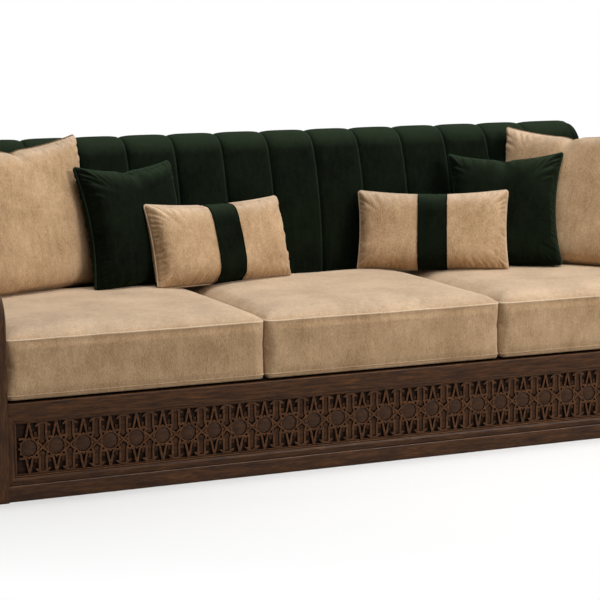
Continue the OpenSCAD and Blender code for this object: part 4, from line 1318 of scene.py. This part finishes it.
# %% [markdown]
# ## Beads round the medallions
# Round each medallion of the carving runs a ring of twelve small beads. Geometry Nodes set them
# out: a circle of twelve points holds the beads, and a line of points, one for each star, holds
# the circles.

# %% Geometry Nodes tree for the beads
BEADS = 12  # round one medallion


def bead_tree():
    tree, given, result = geometry_tree("bead_rings", [
        ("Stars", "NodeSocketInt", 29), ("Pitch", FLOAT, 0.0745), ("Ring Radius", FLOAT, 0.018),
        ("Bead Radius", FLOAT, 0.002),
    ])
    pitch = add_node(tree, "ShaderNodeCombineXYZ", X=given.outputs["Pitch"])
    line = add_node(tree, "GeometryNodeMeshLine", Count=given.outputs["Stars"],
                    Offset=pitch.outputs[0])
    ring = add_node(tree, "GeometryNodeMeshCircle", Vertices=BEADS,
                    Radius=given.outputs["Ring Radius"])
    bead = add_node(tree, "GeometryNodeMeshUVSphere", Segments=8, Rings=5,
                    Radius=given.outputs["Bead Radius"])
    beads = add_node(tree, "GeometryNodeInstanceOnPoints", Points=ring.outputs[0],
                     Instance=bead.outputs[0])
    upright = add_node(tree, "GeometryNodeTransform", Geometry=beads.outputs[0],
                       Rotation=(QUARTER, 0, 0))
    rings = add_node(tree, "GeometryNodeInstanceOnPoints", Points=line.outputs[0],
                     Instance=upright.outputs[0])
    end_tree(tree, given, result, rings.outputs[0])
    return tree


# %% Bead rings
STARS = 29
BEAD_R = 0.0021
BEAD_INSET = 0.0026  # from the rim of a medallion to the middle of a bead
BEAD_SINK = 0.0032  # from the face of a medallion to the middle of a bead

medallions_low, medallions_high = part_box("star_medallions")
MEDALLION = medallions_high.z - medallions_low.z
STAR_PITCH = (medallions_high.x - medallions_low.x - MEDALLION) / (STARS - 1)
guide = make_piece("bead_guide", [(0, 0, 0), (0.001, 0, 0), (0, 0, 0.001)], [(0, 1, 2)],
                   walnut_carved)
beads = run_nodes(guide, bead_tree(), stars=STARS, pitch=STAR_PITCH, bead_radius=BEAD_R,
                  ring_radius=MEDALLION / 2 - BEAD_INSET, material=walnut_carved)
beads.name = "medallion_beads"
first = np.array([medallions_low.x + MEDALLION / 2, medallions_low.y + BEAD_SINK,
                  (medallions_low.z + medallions_high.z) / 2])
move_points(beads, mesh_points(beads) + first)
settle_piece(beads, "frame")
print("beads:", STARS * BEADS)

# %% [markdown]
# ## Floor and light
# The photograph has a white ground and soft studio light, most of it from above and from the front
# right. The floor shows white to the camera but still takes the booth's shadow, which fades into
# plain white away from it. The lamps stay low enough that a colour renders about as it is written.

# %% Floor
FLOOR_HALF = 30
FLOOR_UNSEEN, FLOOR_SEEN = 0.42, 0.84  # what the floor throws back on the booth, and what is seen
FADE_FROM, FADE_TO = 0.75, 1.4
FADE_STRETCH = (0.60, 1.0, 1.0)  # the booth is wide, so the fade starts further out along X

floor_mesh = bpy.data.meshes.new("floor")
floor_mesh.from_pydata([(x * FLOOR_HALF, y * FLOOR_HALF, 0)
                        for x, y in ((-1, -1), (1, -1), (1, 1), (-1, 1))], [], [(0, 1, 2, 3)])
floor = add_object("floor", floor_mesh)
floor_material = bpy.data.materials.new("white_floor")
floor_material.use_nodes = True
tree = floor_material.node_tree
tree.nodes.clear()
rays = tree.nodes.new("ShaderNodeLightPath")
seen = math_node(tree, "MAXIMUM", rays.outputs["Is Camera Ray"], rays.outputs["Is Glossy Ray"])
shade = add_node(tree, "ShaderNodeBsdfDiffuse",
                 Color=range_node(tree, seen, 0.0, 1.0, FLOOR_UNSEEN, FLOOR_SEEN))
white = tree.nodes.new("ShaderNodeEmission")
place = tree.nodes.new("ShaderNodeTexCoord").outputs["Object"]
away = tree.nodes.new("ShaderNodeVectorMath")
away.operation = "LENGTH"
tree.links.new(stretch_node(tree, place, FADE_STRETCH), away.inputs[0])
fade = range_node(tree, away.outputs["Value"], FADE_FROM, FADE_TO, 0.0, 1.0)
blend = tree.nodes.new("ShaderNodeMixShader")
tree.links.new(math_node(tree, "MULTIPLY", fade, seen), blend.inputs[0])
tree.links.new(shade.outputs[0], blend.inputs[1])
tree.links.new(white.outputs[0], blend.inputs[2])
add_node(tree, "ShaderNodeOutputMaterial", Surface=blend.outputs[0])
floor_mesh.materials.append(floor_material)

# %% World and lamps
SKY_LEFT, SKY_RIGHT = 0.06, 0.40  # the studio's walls are brighter on the right
LAMPS = (  # name, place, target, size, watts, colour
    ("key_softbox", (2.7, -4.3, 3.1), (0.2, 0, 0.4), (1.9, 1.4), 172, (1.0, 0.985, 0.96)),
    ("top_softbox", (0.2, -0.5, 3.9), (0.1, 0, 0.4), (3.4, 1.8), 110, (1.0, 1.0, 1.0)),
    ("fill_softbox", (-4.0, -3.6, 1.6), (-0.3, 0, 0.4), (2.4, 2.0), 5, (1.0, 1.0, 1.0)),
)

world = bpy.data.worlds.new("studio")
scene.world = world
world.use_nodes = True
tree = world.node_tree
rays = tree.nodes.new("ShaderNodeLightPath")
direction = tree.nodes.new("ShaderNodeTexCoord").outputs["Generated"]
sides = add_node(tree, "ShaderNodeSeparateXYZ", Vector=direction)
sky = range_node(tree, sides.outputs["X"], -0.8, 0.6, SKY_LEFT, SKY_RIGHT)
set_inputs(tree, tree.nodes["Background"], Color=(1.0, 1.0, 1.0, 1.0),
           Strength=math_node(tree, "MAXIMUM", sky, rays.outputs["Is Camera Ray"]))

for name, at, target, (width, depth), power, colour in LAMPS:
    data = bpy.data.lights.new(name, "AREA")
    data.shape = "RECTANGLE"
    data.size, data.size_y = width, depth
    data.energy = power
    data.color = colour
    lamp = add_object(name, data)
    lamp.location = at
    lamp.rotation_euler = (Vector(target) - Vector(at)).to_track_quat("-Z", "Y").to_euler()

scene.view_settings.view_transform = "Standard"
